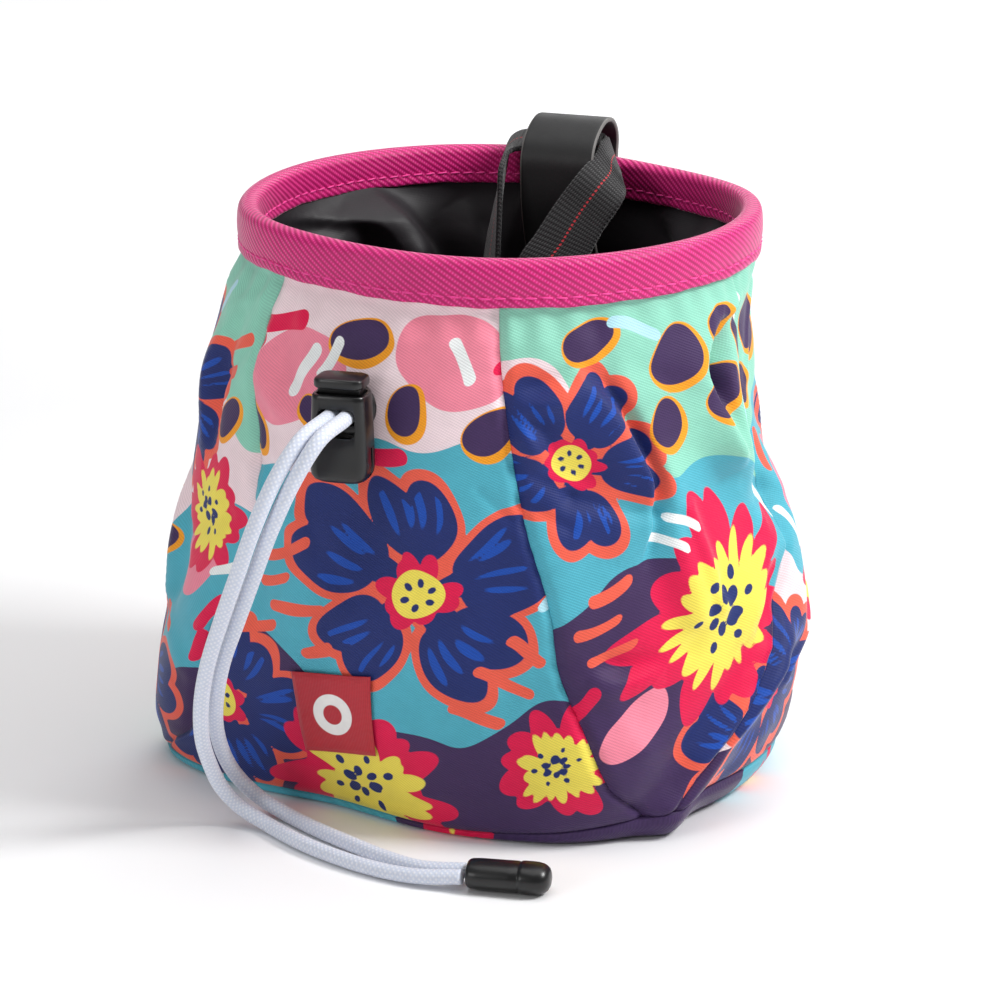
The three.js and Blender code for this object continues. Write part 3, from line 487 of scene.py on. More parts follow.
def clothReach(turn, height, fine=True):
    turn, height = np.broadcast_arrays(np.asarray(turn, float), np.asarray(height, float))
    under = bindingFoot - height
    calm = smoothstep(under, 0.01, 0.1)
    near = smoothstep(under, 0, 0.02)
    reach = clothInBinding + (broadReach(turn, height) - clothInBinding) * near
    reach = reach + calm * foldAt(folds, turn, height) * rimRadius
    if fine:
        quick = smoothstep(under, 0.0, 0.05) * smoothstep(height, 0.0, 0.04)
        reach = reach + quick * (foldAt(creases, turn, height) * rimRadius + drapeAt(drapes, turn, height))
        reach = reach + quick * (0.35 * ripple(3, turn, height * 110, 11) + 0.16 * ripple(4, turn, height * 110, 4.5))
        pucker = np.sin(np.radians(turn) * 46 + 1.4 * np.sin(np.radians(turn) * 7))
        reach = reach + 0.4 * pucker * np.exp(-((under - 0.03) / 0.03) ** 2) * (under > 0)
    return np.where(height >= bindingFoot, clothInBinding, reach)


# Printed cloth: colours, and shapes given by how far inside their edge a place is, in mm
printColours = {
    "ground": "#4FB0C4",
    "pale": "#F5DEE3",
    "mint": "#8FD3BC",
    "plum": "#3E2756",
    "rose": "#F58AA0",
    "petalEdge": "#F2604A",
    "petal": "#15286B",
    "petalVein": "#0A4AAF",
    "burst": "#E5004B",
    "star": "#F7E45A",
    "seed": "#15286B",
    "ovalEdge": "#F9A11B",
    "oval": "#3E2756",
    "coralDash": "#F2604A",
    "redDash": "#E5004B",
    "whiteDash": "#F2F5F5",
    "skyDash": "#B5E3F0",
}


def oval(u, v, x, y, length, width, slant):
    c, s = math.cos(math.radians(slant)), math.sin(math.radians(slant))
    a, b = (u - x) * c + (v - y) * s, (v - y) * c - (u - x) * s
    return (1 - np.sqrt((a / length) ** 2 + (b / width) ** 2)) * min(length, width)


def dash(u, v, x, y, length, width, slant, bend=0.0):
    c, s = math.cos(math.radians(slant)), math.sin(math.radians(slant))
    a, b = (u - x) * c + (v - y) * s, (v - y) * c - (u - x) * s
    b = b - bend * a ** 2 / length
    a = np.maximum(np.abs(a) - length / 2, 0)
    return width / 2 - np.hypot(a, b)


def stretch(u, v, x, y, slant, wave, pitch, phase):  # one side of a wavy line through a point
    c, s = math.cos(math.radians(slant)), math.sin(math.radians(slant))
    a, b = (u - x) * c + (v - y) * s, (v - y) * c - (u - x) * s
    return b - wave * np.sin(a / pitch + phase) - 0.4 * wave * np.sin(a / pitch * 2.3 + phase * 3)


def petals(u, v, x, y, radius, count, turn, seed):
    draw = np.random.default_rng(seed)
    angle, reach = np.arctan2(v - y, u - x), np.hypot(u - x, v - y)
    inside = np.full(np.shape(u), -99.0)
    for k in range(count):
        middle = math.radians(turn + 360 * k / count + draw.uniform(-7, 7))
        size = radius * draw.uniform(0.85, 1.08)
        a = reach * np.cos(angle - middle)
        b = reach * np.sin(angle - middle)
        lobes = [oval(a, b, size * 0.66, side * size * 0.14, size * 0.36, size * 0.23, side * 12) for side in (-1, 1)]
        stem = oval(a, b, size * 0.36, 0, size * 0.34, size * 0.11, 0)
        inside = np.maximum(inside, np.maximum(np.maximum(*lobes), stem))
    return inside


def veins(u, v, x, y, radius, count, turn, seed):  # strokes along each petal
    draw = np.random.default_rng(seed + 1)
    angle, reach = np.arctan2(v - y, u - x), np.hypot(u - x, v - y)
    inside = np.full(np.shape(u), -99.0)
    for k in range(count):
        for aside in (-17, -6, 6, 17):
            middle = math.radians(turn + 360 * k / count + aside + draw.uniform(-3, 3))
            a, b = reach * np.cos(angle - middle), reach * np.sin(angle - middle)
            start, long = radius * draw.uniform(0.42, 0.5), radius * draw.uniform(0.14, 0.24)
            inside = np.maximum(inside, oval(a, b, start + long, 0, long, radius * 0.026 * draw.uniform(0.8, 1.5), 0))
    return inside


def burst(u, v, x, y, radius, rays, depth, seed):
    draw = np.random.default_rng(seed)
    angle, reach = np.arctan2(v - y, u - x), np.hypot(u - x, v - y)
    marks = np.linspace(-math.pi, math.pi, rays + 1)[:-1] + draw.uniform(-0.35, 0.35, rays) * 2 * math.pi / rays
    sizes = draw.uniform(0.74, 1.0, rays)
    inside = radius * (1 - depth) - reach
    for mark, size in zip(marks, sizes):
        a, b = reach * np.cos(angle - mark), reach * np.sin(angle - mark)
        long = radius * size
        width = 2.2 * radius / rays * draw.uniform(0.8, 1.2)
        inside = np.maximum(inside, oval(a, b, long * 0.62, 0, long * 0.38, width, 0))
    return inside


# Motifs of each wall piece: kind, across and up from the middle of its foot, size and turn
motifs = {
    "panel_front": {
        "pale": [(0, 96, 8, 5, 11, 0.4)],
        "plum": [(0, 34, 172, 7, 14, 2.0)],
        "mint": [(0, 2, 188, 4, 12, 0.5)],
        "rose": [(-20, 112, 17, 11, 20), (22, 122, 16, 10, -30)],
        "petals": [(10, 66, 32, 5, 20, 11), (-47, 26, 27, 6, 0, 12)],
        "bursts": [(-4, 9, 29, 14, 21), (46, 20, 18, 11, 22)],
        "ovals": [(-2, 124, 7.5, 4.8, 20), (12, 110, 6, 4, 70), (-36, 100, 6.5, 4.2, 110), (32, 104, 7, 4.4, 30),
                  (-12, 104, 4.6, 3.2, 150)],
        "coralDash": [(-26, 70, 13, 3, 15), (-30, 62, 8, 3, 8), (-22, 55, 15, 3.2, 5), (-34, 48, 10, 2.8, 14),
                      (34, 42, 13, 3, 150), (38, 50, 9, 3, 145), (26, 34, 11, 3, 155), (-14, 44, 8, 3, 20)],
        "redDash": [(-38, 118, 10, 4.4, 12), (-26, 124, 12, 4.6, 5), (38, 118, 9, 4, 160), (6, 98, 9, 3.6, 15)],
        "whiteDash": [(-16, 114, 12, 3.6, 60), (-8, 118, 9, 3, 66), (24, 122, 9, 3, 120), (-58, 44, 8, 2.6, 30)],
        "skyDash": [(44, 66, 12, 3, 60), (48, 58, 8, 2.6, 64)],
    },
    "gore_front_right": {
        "pale": [(0, 98, 350, 7, 12, 1.2)],
        "plum": [(0, 60, 176, 8, 13, 4.4)],
        "mint": [(16, 84, 330, 6, 10, 0.6)],
        "rose": [(-12, 26, 10, 6, 40), (40, 24, 10, 7, 20)],
        "petals": [(-24, 94, 23, 5, 50, 31), (26, 14, 20, 5, 10, 32)],
        "bursts": [(10, 50, 32, 15, 41)],
        "ovals": [(6, 114, 8, 5.6, 60), (20, 104, 7, 5, 40), (2, 98, 5.6, 4, 80), (34, 112, 7, 4.6, 130),
                  (22, 121, 5, 3.8, 20), (-16, 121, 6.6, 4.4, 10)],
        "coralDash": [(-24, 62, 10, 3, 20), (-26, 54, 8, 2.8, 15), (34, 84, 9, 3, 80), (-20, 46, 9, 2.8, 10)],
        "redDash": [(-26, 34, 8, 3.4, 60), (32, 32, 8, 3, 20)],
        "whiteDash": [(-8, 70, 9, 2.6, 150), (-2, 74, 7, 2.4, 150), (36, 70, 8, 2.8, 110)],
        "skyDash": [(-4, 122, 11, 3, 160), (30, 96, 10, 3, 100)],
    },
    "panel_right": {
        "pale": [(0, 44, 170, 6, 12, 0.2)],
        "plum": [(0, 20, 184, 5, 11, 1.0)],
        "mint": [(0, 88, 12, 7, 12, 2.2)],
        "rose": [(-18, 70, 14, 9, 30), (30, 40, 16, 10, 10)],
        "petals": [(20, 78, 26, 5, 30, 51), (-44, 22, 22, 6, 0, 52)],
        "bursts": [(-14, 46, 22, 13, 61), (46, 16, 20, 12, 62)],
        "ovals": [(-16, 112, 6.5, 4.6, 70), (-6, 104, 5, 3.6, 40), (10, 116, 6, 4, 20), (-24, 98, 5, 3.4, 100)],
        "coralDash": [(-26, 80, 10, 3, 60), (0, 84, 9, 2.8, 40), (40, 54, 10, 3, 160), (34, 62, 8, 3, 150)],
        "redDash": [(30, 112, 9, 4, 10), (22, 122, 9, 4, 20), (2, 24, 10, 3.6, 10)],
        "whiteDash": [(-30, 116, 10, 3, 80), (6, 60, 8, 2.8, 20), (-34, 60, 8, 2.8, 100)],
        "skyDash": [(38, 98, 12, 3, 60), (46, 90, 9, 3, 60)],
    },
    "gore_back": {
        "pale": [(0, 108, 12, 6, 12, 2.0)],
        "plum": [(0, 58, 170, 7, 12, 1.4)],
        "mint": [(0, 24, 190, 6, 10, 0.8)],
        "rose": [(14, 118, 14, 9, 30), (-12, 46, 10, 7, 60)],
        "petals": [(-10, 80, 26, 5, 40, 71), (14, 20, 20, 5, 0, 72)],
        "bursts": [(10, 44, 22, 13, 81)],
        "ovals": [(-18, 120, 6.5, 4.6, 30), (-6, 112, 5, 3.6, 60), (28, 104, 6, 4, 20)],
        "coralDash": [(24, 88, 10, 3, 20), (26, 80, 9, 2.8, 14), (-22, 54, 9, 3, 160)],
        "redDash": [(20, 68, 9, 3.4, 20), (-26, 104, 9, 3.6, 12)],
        "whiteDash": [(6, 122, 10, 3, 60), (-20, 30, 8, 2.8, 20)],
        "skyDash": [(-28, 96, 10, 3, 60), (20, 100, 8, 2.8, 60)],
    },
    "panel_back": {
        "pale": [(0, 84, 172, 7, 13, 0.9)],
        "plum": [(0, 104, 12, 7, 12, 2.7)],
        "mint": [(0, 30, 186, 6, 12, 1.6)],
        "rose": [(24, 70, 16, 11, 20), (-28, 60, 14, 9, 120)],
        "petals": [(26, 34, 28, 5, 12, 91), (-34, 92, 22, 5, 40, 92)],
        "bursts": [(-22, 40, 26, 15, 101), (14, 98, 20, 12, 102)],
        "ovals": [(0, 74, 6.5, 4.4, 60), (10, 64, 5, 3.6, 30), (-8, 66, 5, 3.4, 110), (40, 66, 6, 4, 20)],
        "coralDash": [(-2, 22, 12, 3, 10), (-6, 14, 9, 3, 6), (44, 52, 10, 3, 150), (-48, 62, 10, 3, 40)],
        "redDash": [(34, 80, 9, 4, 12), (-10, 82, 9, 3.6, 20), (56, 14, 9, 3.6, 30)],
        "whiteDash": [(-24, 72, 10, 3, 60), (48, 74, 9, 3, 120), (-54, 22, 9, 2.8, 30)],
        "skyDash": [(38, 110, 12, 3, 50), (-20, 116, 10, 3, 50)],
    },
    "gore_left": {
        "pale": [(0, 66, 14, 6, 11, 0.2)],
        "plum": [(0, 34, 176, 6, 12, 3.0)],
        "mint": [(0, 104, 350, 6, 11, 1.0)],
        "rose": [(-20, 82, 14, 9, 20), (18, 60, 12, 8, 100)],
        "petals": [(4, 100, 22, 5, 30, 111), (-6, 22, 22, 5, 10, 112)],
        "bursts": [(20, 72, 18, 12, 121), (-22, 48, 16, 11, 122)],
        "ovals": [(-14, 66, 6, 4, 70), (-4, 58, 5, 3.6, 40), (28, 96, 5.6, 4, 60)],
        "coralDash": [(28, 114, 9, 3, 20), (24, 106, 8, 2.8, 14), (10, 40, 10, 3, 160)],
        "redDash": [(32, 46, 9, 3.6, 60), (-28, 112, 9, 3.6, 12), (30, 36, 7, 3.2, 70)],
        "whiteDash": [(-12, 120, 10, 3, 60), (30, 58, 8, 2.8, 20)],
        "skyDash": [(-28, 98, 10, 3, 60), (12, 124, 8, 2.8, 60)],
    },
}


def printFields(u, v, table, seed):
    # A hand-drawn wobble of the whole print
    x = u + 1.1 * np.sin(v / 7.5 + seed) + 0.5 * np.sin(v / 3.1 + u / 5.3 + seed * 2)
    y = v + 1.1 * np.sin(u / 8.1 + seed * 3) + 0.5 * np.sin(u / 3.4 - v / 4.7 + seed)
    none = np.full(np.shape(u), -9.0)
    fields = {}

    def most(shapes):
        return np.clip(np.maximum.reduce([none, *shapes]), -9, 9)

    for key in ("pale", "mint", "plum"):
        fields[key] = most([stretch(x, y, *row) for row in table[key]])
    fields["rose"] = most([oval(x, y, *row) for row in table["rose"]])
    flowers = [petals(x, y, *row) for row in table["petals"]]
    fields["petalEdge"] = most([flower + 1.9 for flower in flowers])
    fields["petal"] = most(flowers)
    fields["petalVein"] = most([np.minimum(flower - 1.8, veins(x, y, *row)) for flower, row in
                                zip(flowers, table["petals"])])
    hearts = [oval(x, y, row[0], row[1], row[2] * 0.2, row[2] * 0.2, 0) for row in table["petals"]]
    reds = [burst(x, y, row[0], row[1], row[2], row[3], 0.42, row[4]) for row in table["bursts"]]
    fields["burst"] = most(reds + [burst(x, y, row[0], row[1], row[2] * 0.34, 9, 0.5, row[5] + 5)
                                   for row in table["petals"]])
    fields["star"] = most([burst(x, y, row[0] + 0.5, row[1] - 0.5, row[2] * 0.66, row[3] + 6, 0.55, row[4] + 7)
                           for row in table["bursts"]] + [heart - 0.3 for heart in hearts])
    seeds = []
    for row in table["bursts"]:
        draw = np.random.default_rng(row[4] + 50)
        for k in range(13):
            ring = k % 2
            angle = 2 * math.pi * k / 13 + draw.uniform(-0.15, 0.15)
            out, size = row[2] * (0.13 + 0.15 * ring), row[2] * (0.05 - 0.012 * ring) * draw.uniform(0.8, 1.15)
            seeds.append(oval(x, y, row[0] + out * math.cos(angle), row[1] + out * math.sin(angle), size * 1.35, size,
                              math.degrees(angle)))
    for row in table["petals"]:
        for k in range(6):
            angle = math.pi * k / 3 + row[5]
            seeds.append(oval(x, y, row[0] + row[2] * 0.1 * math.cos(angle), row[1] + row[2] * 0.1 * math.sin(angle),
                              row[2] * 0.035, row[2] * 0.025, math.degrees(angle)))
    fields["seed"] = most(seeds)
    spots = [oval(x, y, *row) for row in table["ovals"]]
    fields["ovalEdge"] = most([oval(x, y, row[0] + 0.5, row[1] - 0.6, row[2] + 1.1, row[3] + 1.1, row[4])
                               for row in table["ovals"]])
    fields["oval"] = most(spots)
    for key in ("coralDash", "redDash", "whiteDash", "skyDash"):
        fields[key] = most([dash(x, y, *row, bend=0.12) for row in table[key]])
    return fields


def flatCoordinates(grid):  # arc lengths across and up a grid, from the middle of its foot
    across = np.linalg.norm(np.diff(grid, axis=1), axis=2)
    u = np.concatenate([np.zeros((grid.shape[0], 1)), np.cumsum(across, 1)], 1)
    u = u - u[:, [grid.shape[1] // 2]]
    up = np.linalg.norm(np.diff(grid[:, grid.shape[1] // 2], axis=0), axis=1)
    v = np.concatenate([[0], np.cumsum(up)])[:, None] + np.zeros_like(u)
    return u, v


def printedCloth():
    look = Nodes("printed cloth", 0.62, sheen=0.25, sheenRoughness=0.35, specular=0.35)
    colour = linear(printColours["ground"])
    for key, value in list(printColours.items())[1:]:
        inside = look.math("ADD", look.math("MULTIPLY", look.attribute("print_" + key), 6.0), 0.5, clamp=True)
        colour = look.mix(inside, colour, linear(value))
    u, v = look.flat()
    twill = look.wave(u, v, 0.62, 62)
    threads = look.wave(u, v, 0.5, -35)
    weave = look.math("ADD", look.math("MULTIPLY", twill, 0.75), look.math("MULTIPLY", threads, 0.25))
    # Painted shade and highlight: the colour is darker in the twill's grooves and lighter on its ridges, as the bump is
    colour = look.shade(colour, weave, 0.86, 1.08)
    colour = look.shade(colour, look.noise(160, 4), 0.9, 1.1)
    look.put("Base Color", colour)
    look.bump(weave, 0.09, 0.7)
    return look.material


def wallGrid(index, pitch=0.75, top=None):
    heights = np.linspace(0, bindingFoot, int(bag["height"] * bindingFoot / pitch))
    heights = np.r_[heights, bindingFoot + 0.02]
    left, right = seamTurn(index, heights), seamTurn(index + 1, heights)
    widest = np.radians((right - left).max()) * rimRadius * 1.15
    columns = int(widest / pitch)
    share = np.linspace(0, 1, columns)[None, :]
    turn = left[:, None] + (right - left)[:, None] * share
    height = heights[:, None] + np.zeros_like(turn)
    reach = clothReach(turn, height)
    # Cloth rolls in at each seam, and at the base
    width = np.radians(right - left)[:, None] * reach
    edge = np.minimum(share, 1 - share) * width
    reach = reach - seams["depth"] * np.exp(-(edge / seams["width"]) ** 2)
    gathers = 0.14 * np.sin(height * 130 + 2 * np.sin(height * 23 + index)) * np.exp(-(edge / 4.5) ** 2)
    reach = reach + gathers * smoothstep(bindingFoot - height, 0.02, 0.1)
    reach = reach - 1.1 * np.exp(-((height * bag["height"]) / 1.3) ** 2)
    grid = polar(turn, reach, heightZ(turn, height) + bag["clearance"] * (height == 0))
    # Turned-in edges, and the smooth cloth that the print is laid out on
    inward = polar(turn, -1.0, 0.0)
    first = grid[:, :1] + inward[:, :1] * 0.9
    last = grid[:, -1:] + inward[:, -1:] * 0.9
    smooth = polar(turn, clothReach(turn, height, fine=False), heightZ(turn, height))
    smooth = np.concatenate([smooth[:, :1], smooth, smooth[:, -1:]], 1)
    return np.concatenate([first, grid, last], 1), smooth


def addWall(material):
    for index, name in enumerate(wallPieces):
        grid, smooth = wallGrid(index)
        u, v = flatCoordinates(smooth)
        fields = printFields(u, v, motifs[name], index * 1.7)
        fields = {"print_" + key: value.ravel() for key, value in fields.items()}
        flat = np.stack([u.ravel(), v.ravel()], -1)
        piece = gridPiece("wall_" + name, grid, material, flat=flat, fields=fields)
        onBag(piece, "printed_cloth", name)
    print("wall sewn from", len(wallPieces), "pieces")


# Base: flat foot, turned up to the seam
def addBase(material):
    turn = np.linspace(0, 360, 480, endpoint=False)[None, :]
    share = np.linspace(0, 1, 26)[:, None]
    top = clothReach(turn, np.zeros_like(turn))
    seamZ = heightZ(turn, np.zeros_like(turn))
    foot = top - wall["footInset"] * seamZ - bag["clothWall"]
    reach = foot + (top - foot) * share
    z = seamZ * (0.75 * share ** 2 + 0.25 * share ** 4) + 0.02
    edge = np.exp(-((1 - share) * (top - foot + seamZ) / 1.4) ** 2)
    reach = reach - 0.8 * edge
    rim = polar(turn, reach, z)
    middle = [polar(turn, foot * k, 0.02) for k in (0.001, 0.3, 0.6, 0.85)]
    inner = polar(turn, reach[-1:] - 2.5, z[-1:] + 0.4)
    grid = np.concatenate([*middle, rim, inner], 0)
    u, v = grid[..., 0], grid[..., 1]
    fields = {"print_" + key: f.ravel() for key, f in printFields(u, v, wall["basePrint"], 4.0).items()}
    piece = gridPiece("base", grid, material, wrap=True, flip=True, flat=np.stack([u.ravel(), v.ravel()], -1),
                      fields=fields)
    onBag(piece, "printed_cloth", "base_panel")


# Binding: tape folded over the rim, sewn with a running stitch
binding = {
    "colour": "#DE0778",
    # The lighter pink is a painted highlight on the raised nubs, and the darker one a painted shade in the grooves
    # between the rows
    "nubHighlight": "#F45AAE",
    "deep": "#AC005C",
    "thread": "#F03C98",
    "stitchLength": 2.7,
    "stitchGap": 0.9,
    "stitchUp": 2.7,
    "threadRadius": 0.27,
}


def bindingSection():  # inset from the outside and drop from the top, with the outline's own length
    thick, outer, inner = bindingThickness, bag["bindingOuterHeight"], bag["bindingInnerHeight"]
    corners = [(1.05, outer - 0.5), (0.35, outer - 0.25), (0.05, outer - 0.7), (-0.05, outer - 1.8), (0.12, outer - 2.6),
               (-0.1, outer - 4), (-0.25, outer * 0.45), (-0.1, 2.6), (0.25, 1.1), (1.1, 0.2), (thick / 2, -0.15),
               (thick - 1.1, 0.2), (thick - 0.25, 1.1), (thick, 2.6), (thick + 0.1, inner * 0.5),
               (thick - 0.1, inner - 2.3), (thick + 0.05, inner - 1.2), (thick - 0.1, inner - 0.3),
               (thick - 0.5, inner), (thick - 1.1, inner - 0.3)]
    path = throughPoints([(a, b, 0) for a, b in corners], 6)
    return evenly(path, 0.45)[:, :2]


def bindingPoint(turn, inset, drop):
    sway = 0.12 * np.sin(np.radians(turn) * 17) + 0.08 * np.sin(np.radians(turn) * 41 + 1)
    lower = smoothstep(drop, 4, 11)
    reach = rimRadius - inset + 0.12 * ripple(8, turn, drop * 3, 7) * lower
    return polar(turn, reach, heightZ(turn, np.ones_like(turn)) - drop + sway * lower)


def bindingTape():
    look = Nodes("binding tape", 0.5, sheen=0.35, sheenRoughness=0.3, specular=0.5)
    u, v = look.flat()
    rows = look.wave(u, v, 1.3, 57)
    nubs = look.math("MULTIPLY", rows, look.wave(u, v, 0.75, -33))
    # Painted shade in the grooves between the rows and painted highlight on the raised nubs, where the bump is low and
    # high
    colour = look.mix(look.range(rows, 0.0, 1.0, 0.0, 1.0), linear(binding["deep"]), linear(binding["colour"]))
    colour = look.mix(look.math("MULTIPLY", look.math("POWER", nubs, 2.0), 0.75), colour, linear(binding["nubHighlight"]))
    look.put("Base Color", look.shade(colour, look.noise(300, 3), 0.88, 1.12))
    look.bump(look.math("ADD", look.math("MULTIPLY", rows, 0.5), look.math("MULTIPLY", nubs, 0.5)), 0.2, 0.65)
    return look.material


def stitchTube(path, radius, sides=8):
    along = unit(np.gradient(path, axis=0))
    across = unit(np.cross(along, [0.0, 0.0, 1.0]))
    other = np.cross(along, across)
    angle = np.linspace(0, 2 * math.pi, sides, endpoint=False)
    taper = np.sin(np.linspace(0.12, math.pi - 0.12, len(path))) ** 0.35
    ring = across[:, None] * np.cos(angle)[None, :, None] + other[:, None] * np.sin(angle)[None, :, None]
    return path[:, None] + ring * (radius * taper)[:, None, None]


def joined(name, grids, material, flat=False):  # many small tubes as one mesh
    points, faces, count = [], [], 0
    for grid in grids:
        rows, sides = grid.shape[:2]
        points.append(grid.reshape(-1, 3))
        faces.extend((gridFaces(rows, sides, wrap=True) + count).tolist())
        faces.append([count + k for k in range(sides)][::-1])
        faces.append([count + (rows - 1) * sides + k for k in range(sides)])
        count += rows * sides
    points = np.concatenate(points)
    return newPiece(name, points, faces, material, flat=points[:, [0, 2]] if flat else None)


def threadLook(name, hexColour):
    look = Nodes(name, 0.45, sheen=0.2, specular=0.5)
    colour = look.shade(linear(hexColour), look.noise(1500, 2), 0.8, 1.15)
    look.put("Base Color", colour)
    look.bump(look.noise(2500, 2), 0.05, 0.5)
    return look.material


def addBinding():
    section = bindingSection()
    columns = 900
    turn = np.linspace(-180, 180, columns)
    grid = np.stack([bindingPoint(turn, np.full(columns, a), np.full(columns, b)) for a, b in section])
    along = np.r_[0, np.cumsum(np.linalg.norm(np.diff(section, axis=0), axis=1))]
    # The tape's ends meet at the back
    u = np.broadcast_to(np.radians(turn) * rimRadius, grid.shape[:2])
    v = np.broadcast_to(along[:, None], grid.shape[:2])
    piece = gridPiece("binding", grid, bindingTape(), flip=True, flat=np.stack([u.ravel(), v.ravel()], -1))
    onBag(piece, "binding_tape", "rim_binding")
    stitches = []
    pitch = binding["stitchLength"] + binding["stitchGap"]
    for inset, drop, side in ((-0.02, bag["bindingOuterHeight"] - binding["stitchUp"], -1),
                              (bindingThickness + 0.02, bag["bindingInnerHeight"] - binding["stitchUp"], 1)):
        count = int(2 * math.pi * rimRadius / pitch)
        for k in range(count):
            middle = 360 * k / count
            half = math.degrees(binding["stitchLength"] / 2 / rimRadius)
            share = np.linspace(-1, 1, 9)
            rise = 0.16 * (1 - share ** 4) - 0.22
            places = bindingPoint(middle + half * share, inset + side * rise, np.full(9, drop) + 0.12 * share)
            stitches.append(stitchTube(places, binding["threadRadius"]))
    piece = joined("binding_stitches", stitches, threadLook("binding thread", binding["thread"]))
    onBag(piece, "binding_tape")
    print("binding sewn with", len(stitches), "stitches")


# Lining: thin dark cloth that hangs in folds from the binding
lining = {
    "colour": "#2B282C",
    "deep": "#1B191C",
    "drapes": [
        ([(217, 0.96), (214, 0.925), (206, 0.867), (198, 0.79), (193, 0.68)], 2.6, 14.0, -5.6, 0),
        ([(252, 0.93), (232, 0.905), (217, 0.882), (210, 0.815), (205, 0.70)], 12.0, 2.4, -3.6, 0),
        ([(190, 0.90), (184, 0.80), (180, 0.66)], 3.0, 9.0, -2.0, 0),
        ([(138, 0.93), (126, 0.88), (112, 0.80)], 8.0, 3.0, -2.4, 0),
        ([(100, 0.92), (96, 0.80), (100, 0.66)], 3.0, 10.0, -3.0, 0),
        ([(160, 0.60), (150, 0.45), (154, 0.30)], 4.0, 9.0, -2.5, 0),
        ([(-60, 0.90), (-52, 0.76), (-58, 0.60)], 4.0, 10.0, -2.5, 0),
        ([(40, 0.88), (34, 0.74), (38, 0.56)], 4.0, 10.0, -2.5, 0),
    ],
    "ruffles": [
        [172, 0.92, 176, 0.64, 0.07, -0.02, 0.02], [112, 0.90, 104, 0.60, 0.10, -0.05, -0.03],
        [-70, 0.92, -66, 0.6, 0.08, -0.04, 0.0], [-30, 0.92, -24, 0.6, 0.08, -0.03, 0.0],
        [24, 0.92, 20, 0.6, 0.08, -0.03, 0.0],
    ],
}


def footReach(turn):
    zero = np.zeros_like(turn)
    return clothReach(turn, zero, fine=False) - wall["footInset"] * heightZ(turn, zero) - bag["clothWall"]


def liningReach(turn, height, fine=True):
    start = clothInBinding - bag["clothWall"] - bag["clearance"]
    smooth = broadReach(turn, np.minimum(height, bindingFoot))
    loose = smooth - bag["clothWall"] - bag["liningSlack"] + foldAt(liningFolds, turn, height) * rimRadius
    away = smoothstep(bindingFoot - height, 0, 0.1)
    held = np.minimum(start, smooth - bag["clothWall"] - bag["clearance"])
    reach = np.where(height >= bindingFoot, start, held + (loose - held) * away)
    if fine:
        hang = smoothstep(0.955 - height, 0.0, 0.07) * smoothstep(height, 0.04, 0.2)
        reach = reach + hang * (foldAt(lining["ruffles"], turn, height) * rimRadius
                                + drapeAt(lining["drapes"], turn, height))
        reach = reach + hang * (0.5 * ripple(21, turn, height * 120, 16) + 0.1 * ripple(22, turn, height * 120, 5))
    return reach - bag["liningWall"]


def liningLook():
    look = Nodes("lining cloth", 0.55, sheen=0.1, sheenRoughness=0.3, specular=0.4)
    u, v = look.flat()
    weave = look.math("MULTIPLY", look.wave(u, v, 0.42, 0), look.wave(u, v, 0.42, 90))
    colour = look.mix(look.noise(45, 3), linear(lining["deep"]), linear(lining["colour"]))
    # Painted shade between the threads of the weave; the noise mix above is dark tone that differs at random
    look.put("Base Color", look.shade(colour, weave, 0.9, 1.1))
    small = look.noise(90, 3, 0.5)
    look.bump(look.math("ADD", look.math("MULTIPLY", weave, 0.1), look.math("MULTIPLY", small, 0.9)), 0.4, 0.4)
    return look.material


def addLining():
    columns = 460
    turn = np.linspace(0, 360, columns, endpoint=False)[None, :]
    heights = np.r_[np.linspace(0.035, 0.5, 70), np.linspace(0.505, 0.985, 130)][:, None]
    turn, height = np.broadcast_arrays(turn, heights)
    walls = polar(turn, liningReach(turn, height), heightZ(turn, height))
    floorZ = bag["clothWall"] + bag["clearance"] + bag["liningWall"]
    foot = footReach(turn[:1]) - bag["liningSlack"] - bag["liningWall"]
    floor = [polar(turn[:1], foot * k, floorZ + (0.25 * ripple(30, turn[:1], k * 60, 20) + 0.25) * (k < 1))
             for k in (0.001, 0.2, 0.4, 0.6, 0.8, 1.0)]
    grid = np.concatenate([*floor, walls], 0)
    up = np.r_[0, np.cumsum(np.linalg.norm(np.diff(grid[:, 0], axis=0), axis=1))]
    u = np.broadcast_to(np.radians(turn[0]) * rimRadius, grid.shape[:2])
    v = np.broadcast_to(up[:, None], grid.shape[:2])
    piece = gridPiece("lining_cup", grid, liningLook(), wrap=True, flip=True,
                      flat=np.stack([u.ravel(), v.ravel()], -1))
    onBag(piece, "lining_cloth", "lining")
    print("lining hung")


# Straps: a flat section with rounded edges carried along stations
def strapGrid(centres, across, width, thick, pitch=0.5, edgePoints=4, cross=26, bow=None):
    steps = np.r_[0, np.cumsum(np.linalg.norm(np.diff(centres, axis=0), axis=1))]
    along = unit(np.gradient(centres, axis=0))
    across = unit(across)
    out = unit(np.cross(along, across))
    half, edge = width / 2, thick / 2
    flatSide = np.linspace(-half + edge, half - edge, cross)
    bend = np.linspace(-90, 90, edgePoints + 2)[1:-1]
    section = [(a, edge) for a in flatSide]
    section += [(half - edge + edge * math.cos(math.radians(b)), edge * math.sin(math.radians(b))) for b in bend[::-1]]
    section += [(a, -edge) for a in flatSide[::-1]]
    section += [(-half + edge - edge * math.cos(math.radians(b)), edge * math.sin(math.radians(b))) for b in bend]
    section = np.array(section)
    lift = section[None, :, 1] + (0 if bow is None else bow(steps[:, None], section[None, :, 0]))
    grid = centres[:, None] + across[:, None] * section[None, :, :1] + out[:, None] * lift[..., None]
    u = np.broadcast_to(section[:, 0] + np.where(section[:, 1] < 0, 100.0, 0.0), grid.shape[:2])
    v = np.broadcast_to(steps[:, None], grid.shape[:2])
    return grid, np.stack([u.ravel(), v.ravel()], -1)


